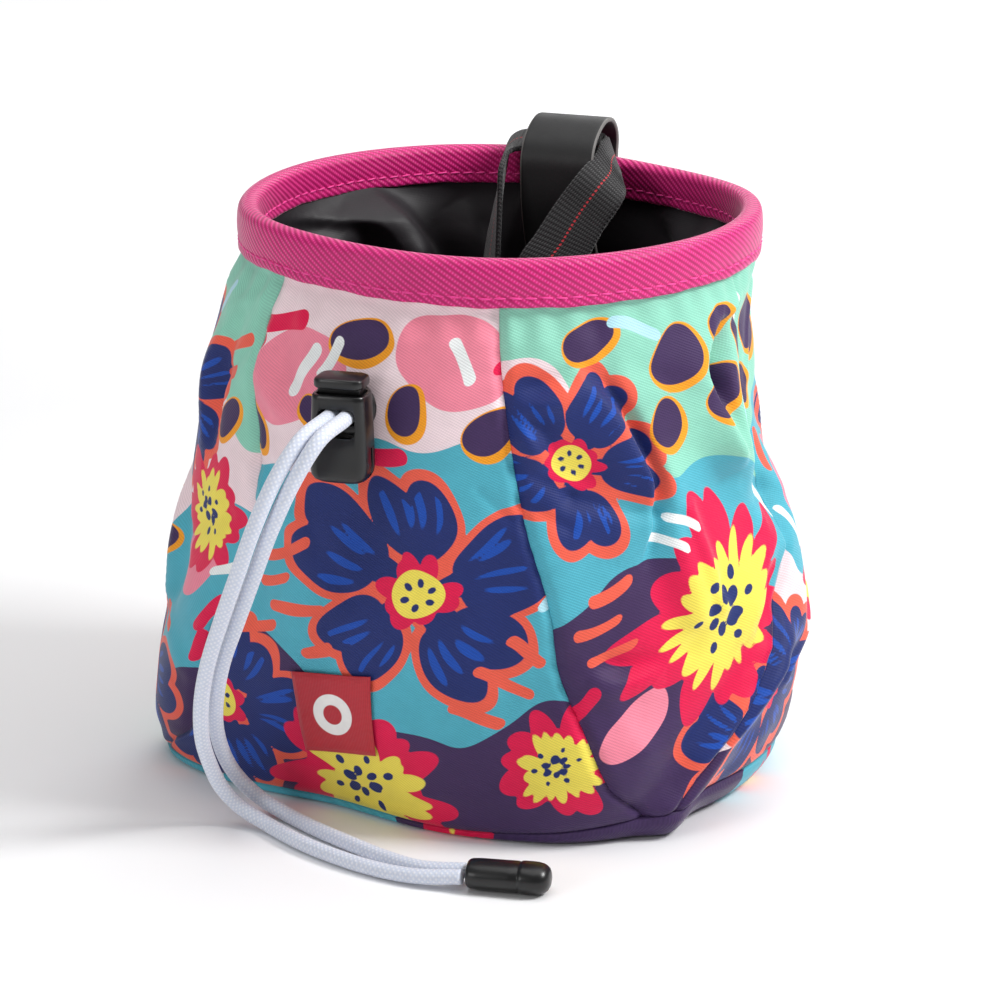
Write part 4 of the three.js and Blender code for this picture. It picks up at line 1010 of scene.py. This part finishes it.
def cappedStrap(name, grid, flat, material):
    rows, sides = grid.shape[:2]
    faces = gridFaces(rows, sides, wrap=True).tolist()
    faces.append(list(range(sides))[::-1])
    faces.append([(rows - 1) * sides + k for k in range(sides)])
    return newPiece(name, grid.reshape(-1, 3), faces, material, flat=flat)


# Belt loop over the back of the rim
loop = {
    "width": 19.4,
    "wall": 1.2,
    "arch": 10.2,
    "turn": 161.0,
    "standOff": 0.7,
    # Out from the rim, up as a share of the arch, and down, both as shares of the rim's radius
    "line": [[0.030, 0.32, 0], [0.014, 0.60, 0], [-0.034, 0.86, 0], [-0.115, 0.95, 0], [-0.200, 0.82, 0],
             [-0.272, 0.54, 0], [-0.306, 0.20, 0], [-0.3125, 0, 0.047], [-0.300, 0, 0.188], [-0.235, 0, 0.375],
             [-0.141, 0, 0.531]],
    "colour": "#1B1B1C",
    # Pale grey painted along both rounded edges of the band as a painted highlight
    "edge": "#6E6C6A",
}


def loopPath():
    turn, half = loop["turn"], loop["wall"] / 2
    bulge = rimRadius - math.sqrt(rimRadius ** 2 - (loop["width"] / 2) ** 2)
    turnArray = np.array([turn])

    def outside(height):
        reach = float(clothReach(turnArray, np.array([height]), fine=False)[0])
        return max(reach, rimRadius) + half + loop["standOff"]

    def z(height):
        return float(heightZ(turnArray, np.array([height]))[0])

    low = float(liningReach(turnArray, np.array([0.66]), fine=False)[0]) - half - bag["clearance"] - bulge
    path = [(outside(0.76), z(0.76)), (outside(0.84), z(0.84)), (outside(0.92), z(0.92)), (outside(1), z(1) - 1)]
    path += [(rimRadius * (1 + out), z(1) + rise * loop["arch"] - drop * rimRadius) for out, rise, drop in loop["line"]]
    return np.array([polar(turn, reach, height) for reach, height in [*path, (low, z(0.66))]])


def loopLook():
    look = Nodes("loop band", 0.5, sheen=0.1, specular=0.45)
    u, v = look.flat()
    ribs = look.wave(u, v, 0.55, 0)
    # Painted highlight: a pale grey along both rounded edges of the band
    cut = 1.0
    for place in (0.0, 100.0):
        near = look.math("ABSOLUTE", look.math("SUBTRACT", u, place))
        cut = look.math("MULTIPLY", look.math("GREATER_THAN", near, loop["width"] / 2 - loop["wall"] * 0.4), cut)
    colour = look.shade(linear(loop["colour"]), look.noise(220, 4), 0.75, 1.25)
    look.put("Base Color", look.mix(cut, colour, linear(loop["edge"])))
    look.put("Roughness", look.range(look.noise(90, 3), 0.3, 0.7, 0.44, 0.58))
    look.bump(look.math("ADD", look.math("MULTIPLY", ribs, 0.3), look.noise(900, 3)), 0.06, 0.4)
    return look.material


def addLoop():
    path = evenly(throughPoints(loopPath(), 14), 0.6)
    across = np.broadcast_to(polar(loop["turn"] + 90, 1, 0), path.shape)
    grid, flat = strapGrid(path, across, loop["width"], loop["wall"])
    onBag(cappedStrap("belt_loop_band", grid, flat, loopLook()), "loop_band", "belt_loop")
    print("belt loop arched over the rim")


# Waist belt: its far and near edge from one hidden end to the other, across as shares of the rim's
# radius and up as shares of the way from the lining's floor to the rim
belt = {
    "width": 17.4,
    "wall": 1.4,
    "colour": "#131214",
    # Lighter black painted on the raised ribs as a painted highlight
    "rib": "#232125",
    "line": "#C9182B",
    "edges": [
        [0.06, -0.19, 0.000, 0.34, -0.19, 0.000], [0.06, 0.03, 0.000, 0.34, 0.03, 0.000],
        [0.06, 0.13, 0.025, 0.34, 0.12, 0.025], [0.06, 0.17, 0.12, 0.34, 0.15, 0.12],
        [0.05, 0.28, 0.42, 0.32, 0.20, 0.42], [0.05, 0.40, 0.70, 0.31, 0.27, 0.68],
        [0.067, 0.461, 0.836, 0.289, 0.295, 0.813], [0.138, 0.492, 0.884, 0.352, 0.316, 0.861],
        [0.230, 0.539, 0.944, 0.403, 0.336, 0.903], [0.312, 0.566, 0.990, 0.474, 0.360, 0.951],
        [0.385, 0.650, 1.012, 0.488, 0.447, 0.968], [0.402, 0.734, 1.024, 0.475, 0.516, 0.984],
        [0.425, 0.870, 1.026, 0.455, 0.630, 0.984], [0.350, 0.938, 1.020, 0.310, 0.690, 1.009],
        [0.215, 0.970, 1.022, 0.180, 0.708, 1.016], [0.095, 0.995, 1.022, 0.052, 0.730, 1.014],
        [0.040, 0.876, 1.012, 0.004, 0.604, 0.992], [0.012, 0.846, 0.952, -0.002, 0.573, 0.937],
        [-0.047, 0.840, 0.836, -0.009, 0.570, 0.822], [-0.100, 0.720, 0.657, -0.050, 0.445, 0.643],
        [-0.090, 0.590, 0.34, -0.080, 0.310, 0.32], [-0.100, 0.510, 0.11, -0.100, 0.230, 0.11],
        [-0.160, 0.490, 0.02, -0.160, 0.210, 0.02], [-0.280, 0.480, 0.000, -0.280, 0.200, 0.000],
        [-0.470, 0.480, 0.000, -0.470, 0.200, 0.000],
    ],
}


def beltLook():
    look = Nodes("belt web", 0.7, sheen=0.3, sheenRoughness=0.5, specular=0.3)
    u, v = look.flat()
    ribs = look.wave(u, v, 1.15, 90)
    threads = look.wave(u, v, 0.8, 0)
    weave = look.math("MULTIPLY", ribs, threads)
    # Painted highlight: lighter where the ribs and threads stand up, as the bump is
    colour = look.mix(weave, linear(belt["colour"]), linear(belt["rib"]))
    # A plain red line woven along the strap on each side, over every other rib
    for place in (0.0, 100.0):
        near = look.math("ABSOLUTE", look.math("SUBTRACT", u, place))
        line = look.math("MULTIPLY", look.math("LESS_THAN", near, 0.32),
                         look.math("GREATER_THAN", ribs, 0.4))
        colour = look.mix(line, colour, linear(belt["line"]))
    look.put("Base Color", colour)
    look.bump(weave, 0.25, 0.9)
    return look.material


def addBelt():
    floorZ = 2 * bag["clearance"] + bag["clothWall"] + bag["liningWall"] + belt["wall"] / 2
    rows = np.array(belt["edges"])

    def edge(x, y, rise):
        return np.stack([x * rimRadius, y * rimRadius, floorZ + (bag["height"] - floorZ) * rise], -1)

    far, near = edge(*rows[:, :3].T), edge(*rows[:, 3:].T)
    both = np.concatenate([(far + near) / 2, far - near], 1)
    centres = throughPoints(both[:, :3], 16)
    marks = np.linspace(0, len(rows) - 1, len(centres))
    across = np.stack([np.interp(marks, np.arange(len(rows)), both[:, 3 + k]) for k in range(3)], -1)
    steps = np.r_[0, np.cumsum(np.linalg.norm(np.diff(centres, axis=0), axis=1))]
    wanted = np.linspace(0, steps[-1], int(steps[-1] / 0.6))
    centres = np.stack([np.interp(wanted, steps, centres[:, k]) for k in range(3)], -1)
    across = np.stack([np.interp(wanted, steps, across[:, k]) for k in range(3)], -1)
    smooth = np.ones(9) / 9
    across = np.stack([np.convolve(np.pad(across[:, k], 4, mode="edge"), smooth, "valid") for k in range(3)], -1)
    grid, flat = strapGrid(centres, across, belt["width"], belt["wall"])
    onBag(cappedStrap("waist_belt", grid, flat, beltLook()), "belt_web", "belt_webbing")
    print("belt threaded")


# Label: a woven square on the front panel
label = {
    "side": 22.3,
    "turn": -35.2,
    "height": 0.193,
    "lean": -0.073,
    "rise": 0.159,
    "wall": 0.7,
    "colour": "#A80C1C",
    # Lighter red painted on the raised threads as a painted highlight
    "light": "#C81C30",
    "mark": "#F4F2EE",
}


def labelLook():
    look = Nodes("woven label", 0.42, sheen=0.2, specular=0.5)
    u, v = look.flat()
    ribs = look.wave(u, v, 0.34, 90)
    threads = look.wave(u, v, 0.46, 0)
    weave = look.math("ADD", look.math("MULTIPLY", ribs, 0.6), look.math("MULTIPLY", threads, 0.4))
    # Painted highlight: lighter red where the threads stand up, as the bump is
    colour = look.mix(weave, linear(label["colour"]), linear(label["light"]))
    ring = look.attribute("mark")
    colour = look.mix(look.math("ADD", look.math("MULTIPLY", ring, 5.0), 0.5, clamp=True), colour,
                      linear(label["mark"]))
    look.put("Base Color", look.shade(colour, look.noise(400, 3), 0.92, 1.06))
    look.bump(weave, 0.1, 0.7)
    return look.material


def addLabel():
    cells = 72
    up, side = np.meshgrid(np.linspace(-0.5, 0.5, cells), np.linspace(-0.5, 0.5, cells), indexing="ij")
    up, side = up * label["side"], side * label["side"]
    fray = 0.12 * ripple(41, side * 4, up * 4, 2.0)
    base = float(clothReach(np.array([label["turn"]]), np.array([label["height"]]), fine=False)[0])
    edge = label["side"] / 2 - np.maximum(np.abs(up), np.abs(side))
    layers = []
    for lift in (bag["clearance"] + label["wall"] + 0.35, bag["clearance"] + 0.1):
        turn = label["turn"] + np.degrees((side * (1 + 0.01 * fray) - label["lean"] * up) / base)
        height = label["height"] + (up + label["rise"] * side) / bag["height"]
        reach = clothReach(turn, height) + lift - 0.45 * np.exp(-(edge / 0.9) ** 2) * (lift > 0.5)
        reach = reach + 0.35 * np.exp(-(edge / 1.0) ** 2) * (lift < 0.5)
        layers.append(polar(turn, reach, heightZ(turn, height)))
    outer, inner = layers
    # Top sheet, then its edges turned down to the cloth
    grid = np.pad(outer, ((1, 1), (1, 1), (0, 0)), mode="edge")
    back = np.pad(inner, ((1, 1), (1, 1), (0, 0)), mode="edge")
    rim = np.ones(grid.shape[:2], dtype=bool)
    rim[1:-1, 1:-1] = False
    grid[rim] = back[rim]
    upFlat, sideFlat = (np.pad(values, 1, mode="edge") for values in (up, side))
    mark = 1.5 - np.abs(np.hypot(upFlat, sideFlat) - 4.3)
    piece = gridPiece("woven_label", grid, labelLook(), flat=np.stack([sideFlat.ravel(), upFlat.ravel()], -1),
                      fields={"mark": mark.ravel()})
    onBag(piece, "label_cloth", "label")


# Moulded dark pieces: eyelet, cord lock, cord end
hardware = {
    "colour": "#0B0B0C",
    # Lighter grey painted on the convex edges as a painted highlight
    "edgeHighlight": "#1E1E20",
    "eyeletTurn": -29.0,
    "eyeletHeight": 0.747,
    "eyeletRadius": 6.2,
    "eyeletBore": 4.4,
    "eyeletWall": 0.9,
    "eyeletProud": 1.3,
    "lockWidth": 13.8,
    "lockDepth": 9.6,
    "lockHeight": 21.4,
    "lockTaper": 0.93,
    "buttonWidth": 12.0,
    "buttonDepth": 8.4,
    "buttonThickness": 2.4,
    "buttonTravel": 1.2,
    "lockTurn": -16.0,
    "lockGap": 1.7,
    "plungerWidth": 10.4,
    "plungerDepth": 5.4,
    "endLength": 19.8,
    "endWidth": 9.4,
    "endHeight": 7.6,
    "endCentre": (2.2, -95.4),
    "endTurn": -12.0,
}


def plasticLook():
    look = Nodes("dark plastic", 0.36, coat=0.05, specular=0.5)
    grain = look.noise(1400, 3)
    edges = look.tree.nodes.new("ShaderNodeNewGeometry").outputs["Pointiness"]
    # Painted highlight: lighter on sharp convex edges
    edgeHighlightShare = look.range(edges, 0.52, 0.62, 0.0, 0.5)
    colour = look.mix(edgeHighlightShare, linear(hardware["colour"]), linear(hardware["edgeHighlight"]))
    look.put("Base Color", look.shade(colour, look.noise(200, 3), 0.85, 1.15))
    look.put("Roughness", look.range(look.noise(120, 3), 0.3, 0.7, 0.28, 0.42))
    look.bump(grain, 0.03, 0.35)
    return look.material


def facing(turn, origin, points):  # right, up and out of a place that faces a turn
    out, up = polar(turn, 1.0, 0.0), np.array([0.0, 0.0, 1.0])
    points = np.asarray(points, dtype=float)
    return origin + points[..., :1] * np.cross(up, out) + points[..., 1:2] * up + points[..., 2:3] * out


def eyeletOrigin():
    turn, height = np.array([hardware["eyeletTurn"]]), np.array([hardware["eyeletHeight"]])
    return polar(turn, clothReach(turn, height, fine=False), heightZ(turn, height))[0]


def fromEyelet(points):
    return facing(hardware["eyeletTurn"], eyeletOrigin(), points)


def fromLock(points):
    start = fromEyelet([0.0, 0.0, eyeletSeat + hardware["eyeletProud"]])
    centre = start + polar(hardware["lockTurn"], hardware["lockGap"] + hardware["lockDepth"] / 2, 0.0)
    return facing(hardware["lockTurn"], centre, points)


eyeletSeat = bag["clearance"] + 0.45


def addEyelet(material):
    bore, radius, proud = hardware["eyeletBore"], hardware["eyeletRadius"], hardware["eyeletProud"]
    barrel = bore + hardware["eyeletWall"]
    back = -(bag["clothWall"] + bag["clearance"] + 1.2)
    profile = [(bore, back), (barrel, back), (barrel, eyeletSeat - 0.3), (radius - 0.2, eyeletSeat - 0.3),
               (radius, eyeletSeat), (radius, eyeletSeat + proud * 0.4), (radius - 0.25, eyeletSeat + proud * 0.8),
               (radius - 0.8, eyeletSeat + proud), (bore + 0.6, eyeletSeat + proud), (bore + 0.1, eyeletSeat + proud * 0.7),
               (bore, eyeletSeat)]
    angle = np.linspace(0, 2 * math.pi, 64, endpoint=False)
    rings = [np.stack([r * np.cos(angle), r * np.sin(angle), np.full(64, out)], -1) for r, out in profile]
    grid = fromEyelet(np.array(rings + rings[:1]))
    onBag(gridPiece("cord_eyelet", grid, material, wrap=True), "dark_plastic", "eyelet")


def roundedRing(width, depth, corner, perCorner=7):
    w, d = width / 2 - corner, depth / 2 - corner
    points = []
    for quarter, (x, y) in enumerate(((w, d), (-w, d), (-w, -d), (w, -d))):
        for k in range(perCorner):
            angle = math.radians(90 * quarter + 90 * k / (perCorner - 1))
            points.append((x + corner * math.cos(angle), y + corner * math.sin(angle)))
    return np.array(points)


cordRadius = cords["diameter"] / 2
strandPitch = cords["diameter"] + bag["clearance"]
slotTop = cordRadius + bag["clearance"]
slotBottom = slotTop - 6.8
lockTop = slotTop + 3.15
lockBottom = lockTop - hardware["lockHeight"]
barTop = -(cordRadius + bag["clearance"])
buttonBottom = lockTop + bag["clearance"] + hardware["buttonTravel"]


def lockPoints(points):  # across, deep, up in the lock to the bag's places
    points = np.asarray(points, dtype=float)
    return fromLock(np.stack([points[..., 0], points[..., 2], -points[..., 1]], -1))


def loftPiece(name, rings, material, place=lockPoints):
    grid = place(np.array(rings))
    rows, sides = grid.shape[:2]
    faces = gridFaces(rows, sides, wrap=True).tolist()
    faces.append(list(range(sides))[::-1])
    faces.append([(rows - 1) * sides + k for k in range(sides)])
    piece = newPiece(name, grid.reshape(-1, 3), faces, material)
    bpy.context.view_layer.objects.active = piece
    tidyNormals(piece)
    return piece


def tidyNormals(piece):
    mesh = bmesh.new()
    mesh.from_mesh(piece.data)
    bmesh.ops.remove_doubles(mesh, verts=mesh.verts, dist=1e-6)
    bmesh.ops.recalc_face_normals(mesh, faces=mesh.faces)
    mesh.to_mesh(piece.data)
    mesh.free()


def cutWith(piece, tools, round_=0.25):
    for tool in tools:
        cutter = piece.modifiers.new("cut", "BOOLEAN")
        cutter.operation, cutter.object, cutter.solver = "DIFFERENCE", tool, "EXACT"
        applied(piece)
        bpy.data.objects.remove(tool)
    bevel = piece.modifiers.new("edge", "BEVEL")
    bevel.width, bevel.segments, bevel.limit_method = round_ * mm, 2, "ANGLE"
    bevel.angle_limit = math.radians(40)
    bevel.harden_normals = False
    applied(piece)
    piece.data.polygons.foreach_set("use_smooth", [True] * len(piece.data.polygons))
    piece.data.update()


def prism(name, outline, low, high, material):  # outline in across and up, from deep low to high
    rings = [np.stack([outline[:, 0], np.full(len(outline), y), outline[:, 1]], -1) for y in (low, high)]
    return loftPiece(name, rings, material)


def addLock(material):
    width, depth, height = hardware["lockWidth"], hardware["lockDepth"], hardware["lockHeight"]
    levels = [(0, 0.50, 0.40), (0.006, 0.62, 0.55), (0.02, 0.76, 0.72), (0.05, 0.90, 0.88), (0.1, 0.985, 0.965),
              (0.16, 1.01, 0.99), (0.22, 1.02, 1.0), (0.4, 1.005, 1.0), (0.6, 0.98, 1.0), (0.8, 0.955, 0.99),
              (0.94, 0.94, 0.98), (0.985, 0.93, 0.965), (1, 0.90, 0.93)]
    rings = []
    for share, w, d in levels:
        ring = roundedRing(width * w, depth * d, 2.4)
        rings.append(np.stack([ring[:, 0], ring[:, 1], np.full(len(ring), lockBottom + share * height)], -1))
    body = loftPiece("cord_lock", rings, material)
    slotWidth = 2 * cords["diameter"] + 1.6
    outline = roundedRing(slotWidth, slotTop - slotBottom, 1.6)
    outline[:, 1] += (slotTop + slotBottom) / 2
    slot = prism("slotTool", outline, -depth, depth, material)
    pocketBottom = barTop - 1.7 - hardware["buttonTravel"] - 3
    pocketRing = roundedRing(hardware["plungerWidth"] + 0.6, hardware["plungerDepth"] + 0.6, 0.5, 3)
    pocket = loftPiece("pocketTool", [np.stack([pocketRing[:, 0], pocketRing[:, 1], np.full(len(pocketRing), z)], -1)
                                      for z in (pocketBottom, lockTop + 1)], material)
    grooves = []
    for side in (-1, 1):
        ring = roundedRing(1.5, 7.5, 0.5, 3)
        ring = ring + [side * width / 2, lockBottom + 4.6]
        grooves.append(prism("grooveTool", ring, -0.15, 1.35, material))
    cutWith(body, [slot, pocket, *grooves], 0.3)
    onBag(body, "dark_plastic", "cord_lock_body")
    # Button: a rounded cap over a plunger with a window for the strands
    rings = []
    for share, size in ((0, 0.92), (0.08, 0.97), (0.25, 1.0), (0.7, 1.0), (0.9, 0.965), (1.0, 0.88)):
        ring = roundedRing(hardware["buttonWidth"] * size, hardware["buttonDepth"] * size, 2.2 * size)
        z = buttonBottom + share * hardware["buttonThickness"]
        rings.append(np.stack([ring[:, 0], ring[:, 1], np.full(len(ring), z)], -1))
    cap = loftPiece("lock_button", rings, material)
    stemRing = roundedRing(hardware["plungerWidth"], hardware["plungerDepth"], 0.6, 3)
    stem = loftPiece("stemTool", [np.stack([stemRing[:, 0], stemRing[:, 1], np.full(len(stemRing), z)], -1)
                                  for z in (barTop - 1.7, buttonBottom + 1)], material)
    union = cap.modifiers.new("join", "BOOLEAN")
    union.operation, union.object, union.solver = "UNION", stem, "EXACT"
    applied(cap)
    bpy.data.objects.remove(stem)
    opening = roundedRing(2 * cords["diameter"] + 0.9, cordRadius + 0.6 + 1.8 - barTop, 0.8, 3)
    opening[:, 1] += (cordRadius + 0.6 + 1.8 + barTop) / 2
    cutWith(cap, [prism("windowTool", opening, -6, 6, material)], 0.25)
    onBag(cap, "dark_plastic", "cord_lock_button", body="lock_button")
    print("cord lock built")


def addCordEnd(material):
    length, width, height = hardware["endLength"], hardware["endWidth"], hardware["endHeight"]
    stations = [(-0.5, 0.70), (-0.495, 0.78), (-0.48, 0.85), (-0.45, 0.905), (-0.36, 0.94), (-0.2, 0.95), (0.0, 0.955),
                (0.10, 0.955), (0.115, 0.925), (0.13, 0.925), (0.145, 0.985), (0.18, 1.0), (0.26, 1.0), (0.34, 0.985),
                (0.40, 0.92), (0.44, 0.82), (0.47, 0.68), (0.49, 0.48), (0.5, 0.22)]
    angle = np.linspace(0, 2 * math.pi, 40, endpoint=False)
    rings = []
    for along, size in stations:
        rings.append(np.stack([np.full(40, along * length), np.cos(angle) * size * width / 2,
                               np.sin(angle) * size * height / 2], -1))
    c, s = math.cos(math.radians(hardware["endTurn"])), math.sin(math.radians(hardware["endTurn"]))

    def place(points):
        x, y, z = points[..., 0], points[..., 1], points[..., 2]
        return np.stack([hardware["endCentre"][0] + c * x - s * y, hardware["endCentre"][1] + s * x + c * y,
                         z + height / 2], -1)

    piece = loftPiece("cord_end_cap", rings, material, place)
    return onBag(piece, "dark_plastic", "cord_end")


def cordLook():
    look = Nodes("white cord", 0.55, sheen=0.3, sheenRoughness=0.4, specular=0.4)
    u, v = look.flat()
    braid = look.math("MULTIPLY", look.wave(u, v, cords["braidPitch"], 48), look.wave(u, v, cords["braidPitch"], -48))
    look.put("Base Color", look.mix(braid, linear(cords["shadow"]), linear(cords["colour"])))
    look.bump(braid, cords["braidDepth"], 0.7)
    return look.material


def strandPiece(name, side, route, material):
    across = side * strandPitch / 2
    start = [fromEyelet([across, 0, -(bag["clothWall"] + 1.4)]), fromEyelet([across, 0, eyeletSeat]),
             fromLock([across, 0, 0]), fromLock([across, 0, hardware["lockDepth"] / 2 + 0.6])]
    path = evenly(throughPoints([*start, *route], 20), cords["step"])
    along = unit(np.gradient(path, axis=0))
    normal = unit(np.cross(along[0], [0.0, 0.0, 1.0]))
    normals = []
    for way in along:  # carried along without twist
        normal = unit(normal - way * np.dot(normal, way))
        normals.append(normal)
    normals = np.array(normals)
    other = np.cross(along, normals)
    angle = np.linspace(0, 2 * math.pi, cords["sides"], endpoint=False)[None, :]
    run = (np.arange(len(path)) * np.linalg.norm(path[1] - path[0]))[:, None]
    grid = (path[:, None] + normals[:, None] * (np.cos(angle) * cordRadius)[..., None]
            + other[:, None] * (np.sin(angle) * cordRadius)[..., None])
    u = np.broadcast_to(angle * cordRadius, grid.shape[:2])
    v = np.broadcast_to(run, grid.shape[:2])
    rows, sides = grid.shape[:2]
    faces = gridFaces(rows, sides, wrap=True).tolist()
    faces.append(list(range(sides))[::-1])
    faces.append([(rows - 1) * sides + k for k in range(sides)])
    piece = newPiece(name, grid.reshape(-1, 3), faces, material, flat=np.stack([u.ravel(), v.ravel()], -1))
    return piece, (path + rimCentre) * mm


def addCords():
    material = cordLook()
    plastic = plasticLook()
    end = addCordEnd(plastic)
    for name, node, side, route in (("strand_outer", "cord_strand_outer", -1, outerRoute),
                                    ("strand_inner", "cord_strand_inner", 1, innerRoute)):
        piece, path = strandPiece(name, side, route, material)
        onBag(piece, "cord", node)
    return plastic


plastic = addCords()
addEyelet(plastic)
addLock(plastic)
cloth = printedCloth()
addWall(cloth)
addBase(cloth)
addLining()
addBinding()
addLoop()
addBelt()
addLabel()


# Floor and light
studio = {
    "floor": "#F4F4F5",
    "world": 0.22,
    "key": 8.5,
    "fill": 2.2,
    "top": 10.5,
    "farGlow": 0.6,
    "back": 2.5,
}


def addLight(name, place, target, size, power):
    data = bpy.data.lights.new(name, "AREA")
    data.shape = "RECTANGLE"
    data.size, data.size_y = size
    data.energy = power
    lamp = bpy.data.objects.new(name, data)
    lamp.location = place
    lamp.rotation_euler = (Vector(target) - Vector(place)).to_track_quat("-Z", "Y").to_euler()
    bpy.context.collection.objects.link(lamp)


def addStudio():
    look = Nodes("floor", 0.6, specular=0.2)
    tone = look.mix(look.noise(3, 2, coordinates="Generated"), linear(studio["floor"]), linear("#F7F7F8"))
    look.put("Base Color", tone)
    place = look.tree.nodes.new("ShaderNodeVectorMath")
    place.operation = "LENGTH"
    look.tree.links.new(look.tree.nodes.new("ShaderNodeTexCoord").outputs["Object"], place.inputs[0])
    look.put("Emission Color", (1.0, 1.0, 1.0, 1.0))
    look.put("Emission Strength", look.range(place.outputs["Value"], 0.35, 1.4, 0.0, studio["farGlow"]))
    size = 6.0
    mesh = bpy.data.meshes.new("floor")
    mesh.from_pydata([(-size, -size, 0), (size, -size, 0), (size, size, 0), (-size, size, 0)], [], [(0, 1, 2, 3)])
    mesh.materials.append(look.material)
    floor = bpy.data.objects.new("floor", mesh)
    bpy.context.collection.objects.link(floor)
    world = bpy.data.worlds.new("studio")
    world.use_nodes = True
    world.node_tree.nodes["Background"].inputs[0].default_value = (1, 1, 1, 1)
    world.node_tree.nodes["Background"].inputs[1].default_value = studio["world"]
    bpy.context.scene.world = world
    addLight("key", (0.75, -0.2, 0.75), (0, 0, 0.07), (0.3, 0.3), studio["key"])
    addLight("fill", (-0.75, -0.8, 0.5), (0, 0, 0.07), (0.35, 0.35), studio["fill"])
    addLight("top", (0.1, 0.05, 1.3), (0, 0, 0.0), (1.4, 1.4), studio["top"])
    addLight("back", (0.3, 0.9, 0.6), (0, 0, 0.1), (0.6, 0.4), studio["back"])
    bpy.context.scene.view_settings.view_transform = "Standard"


addStudio()
print("floor and light set")
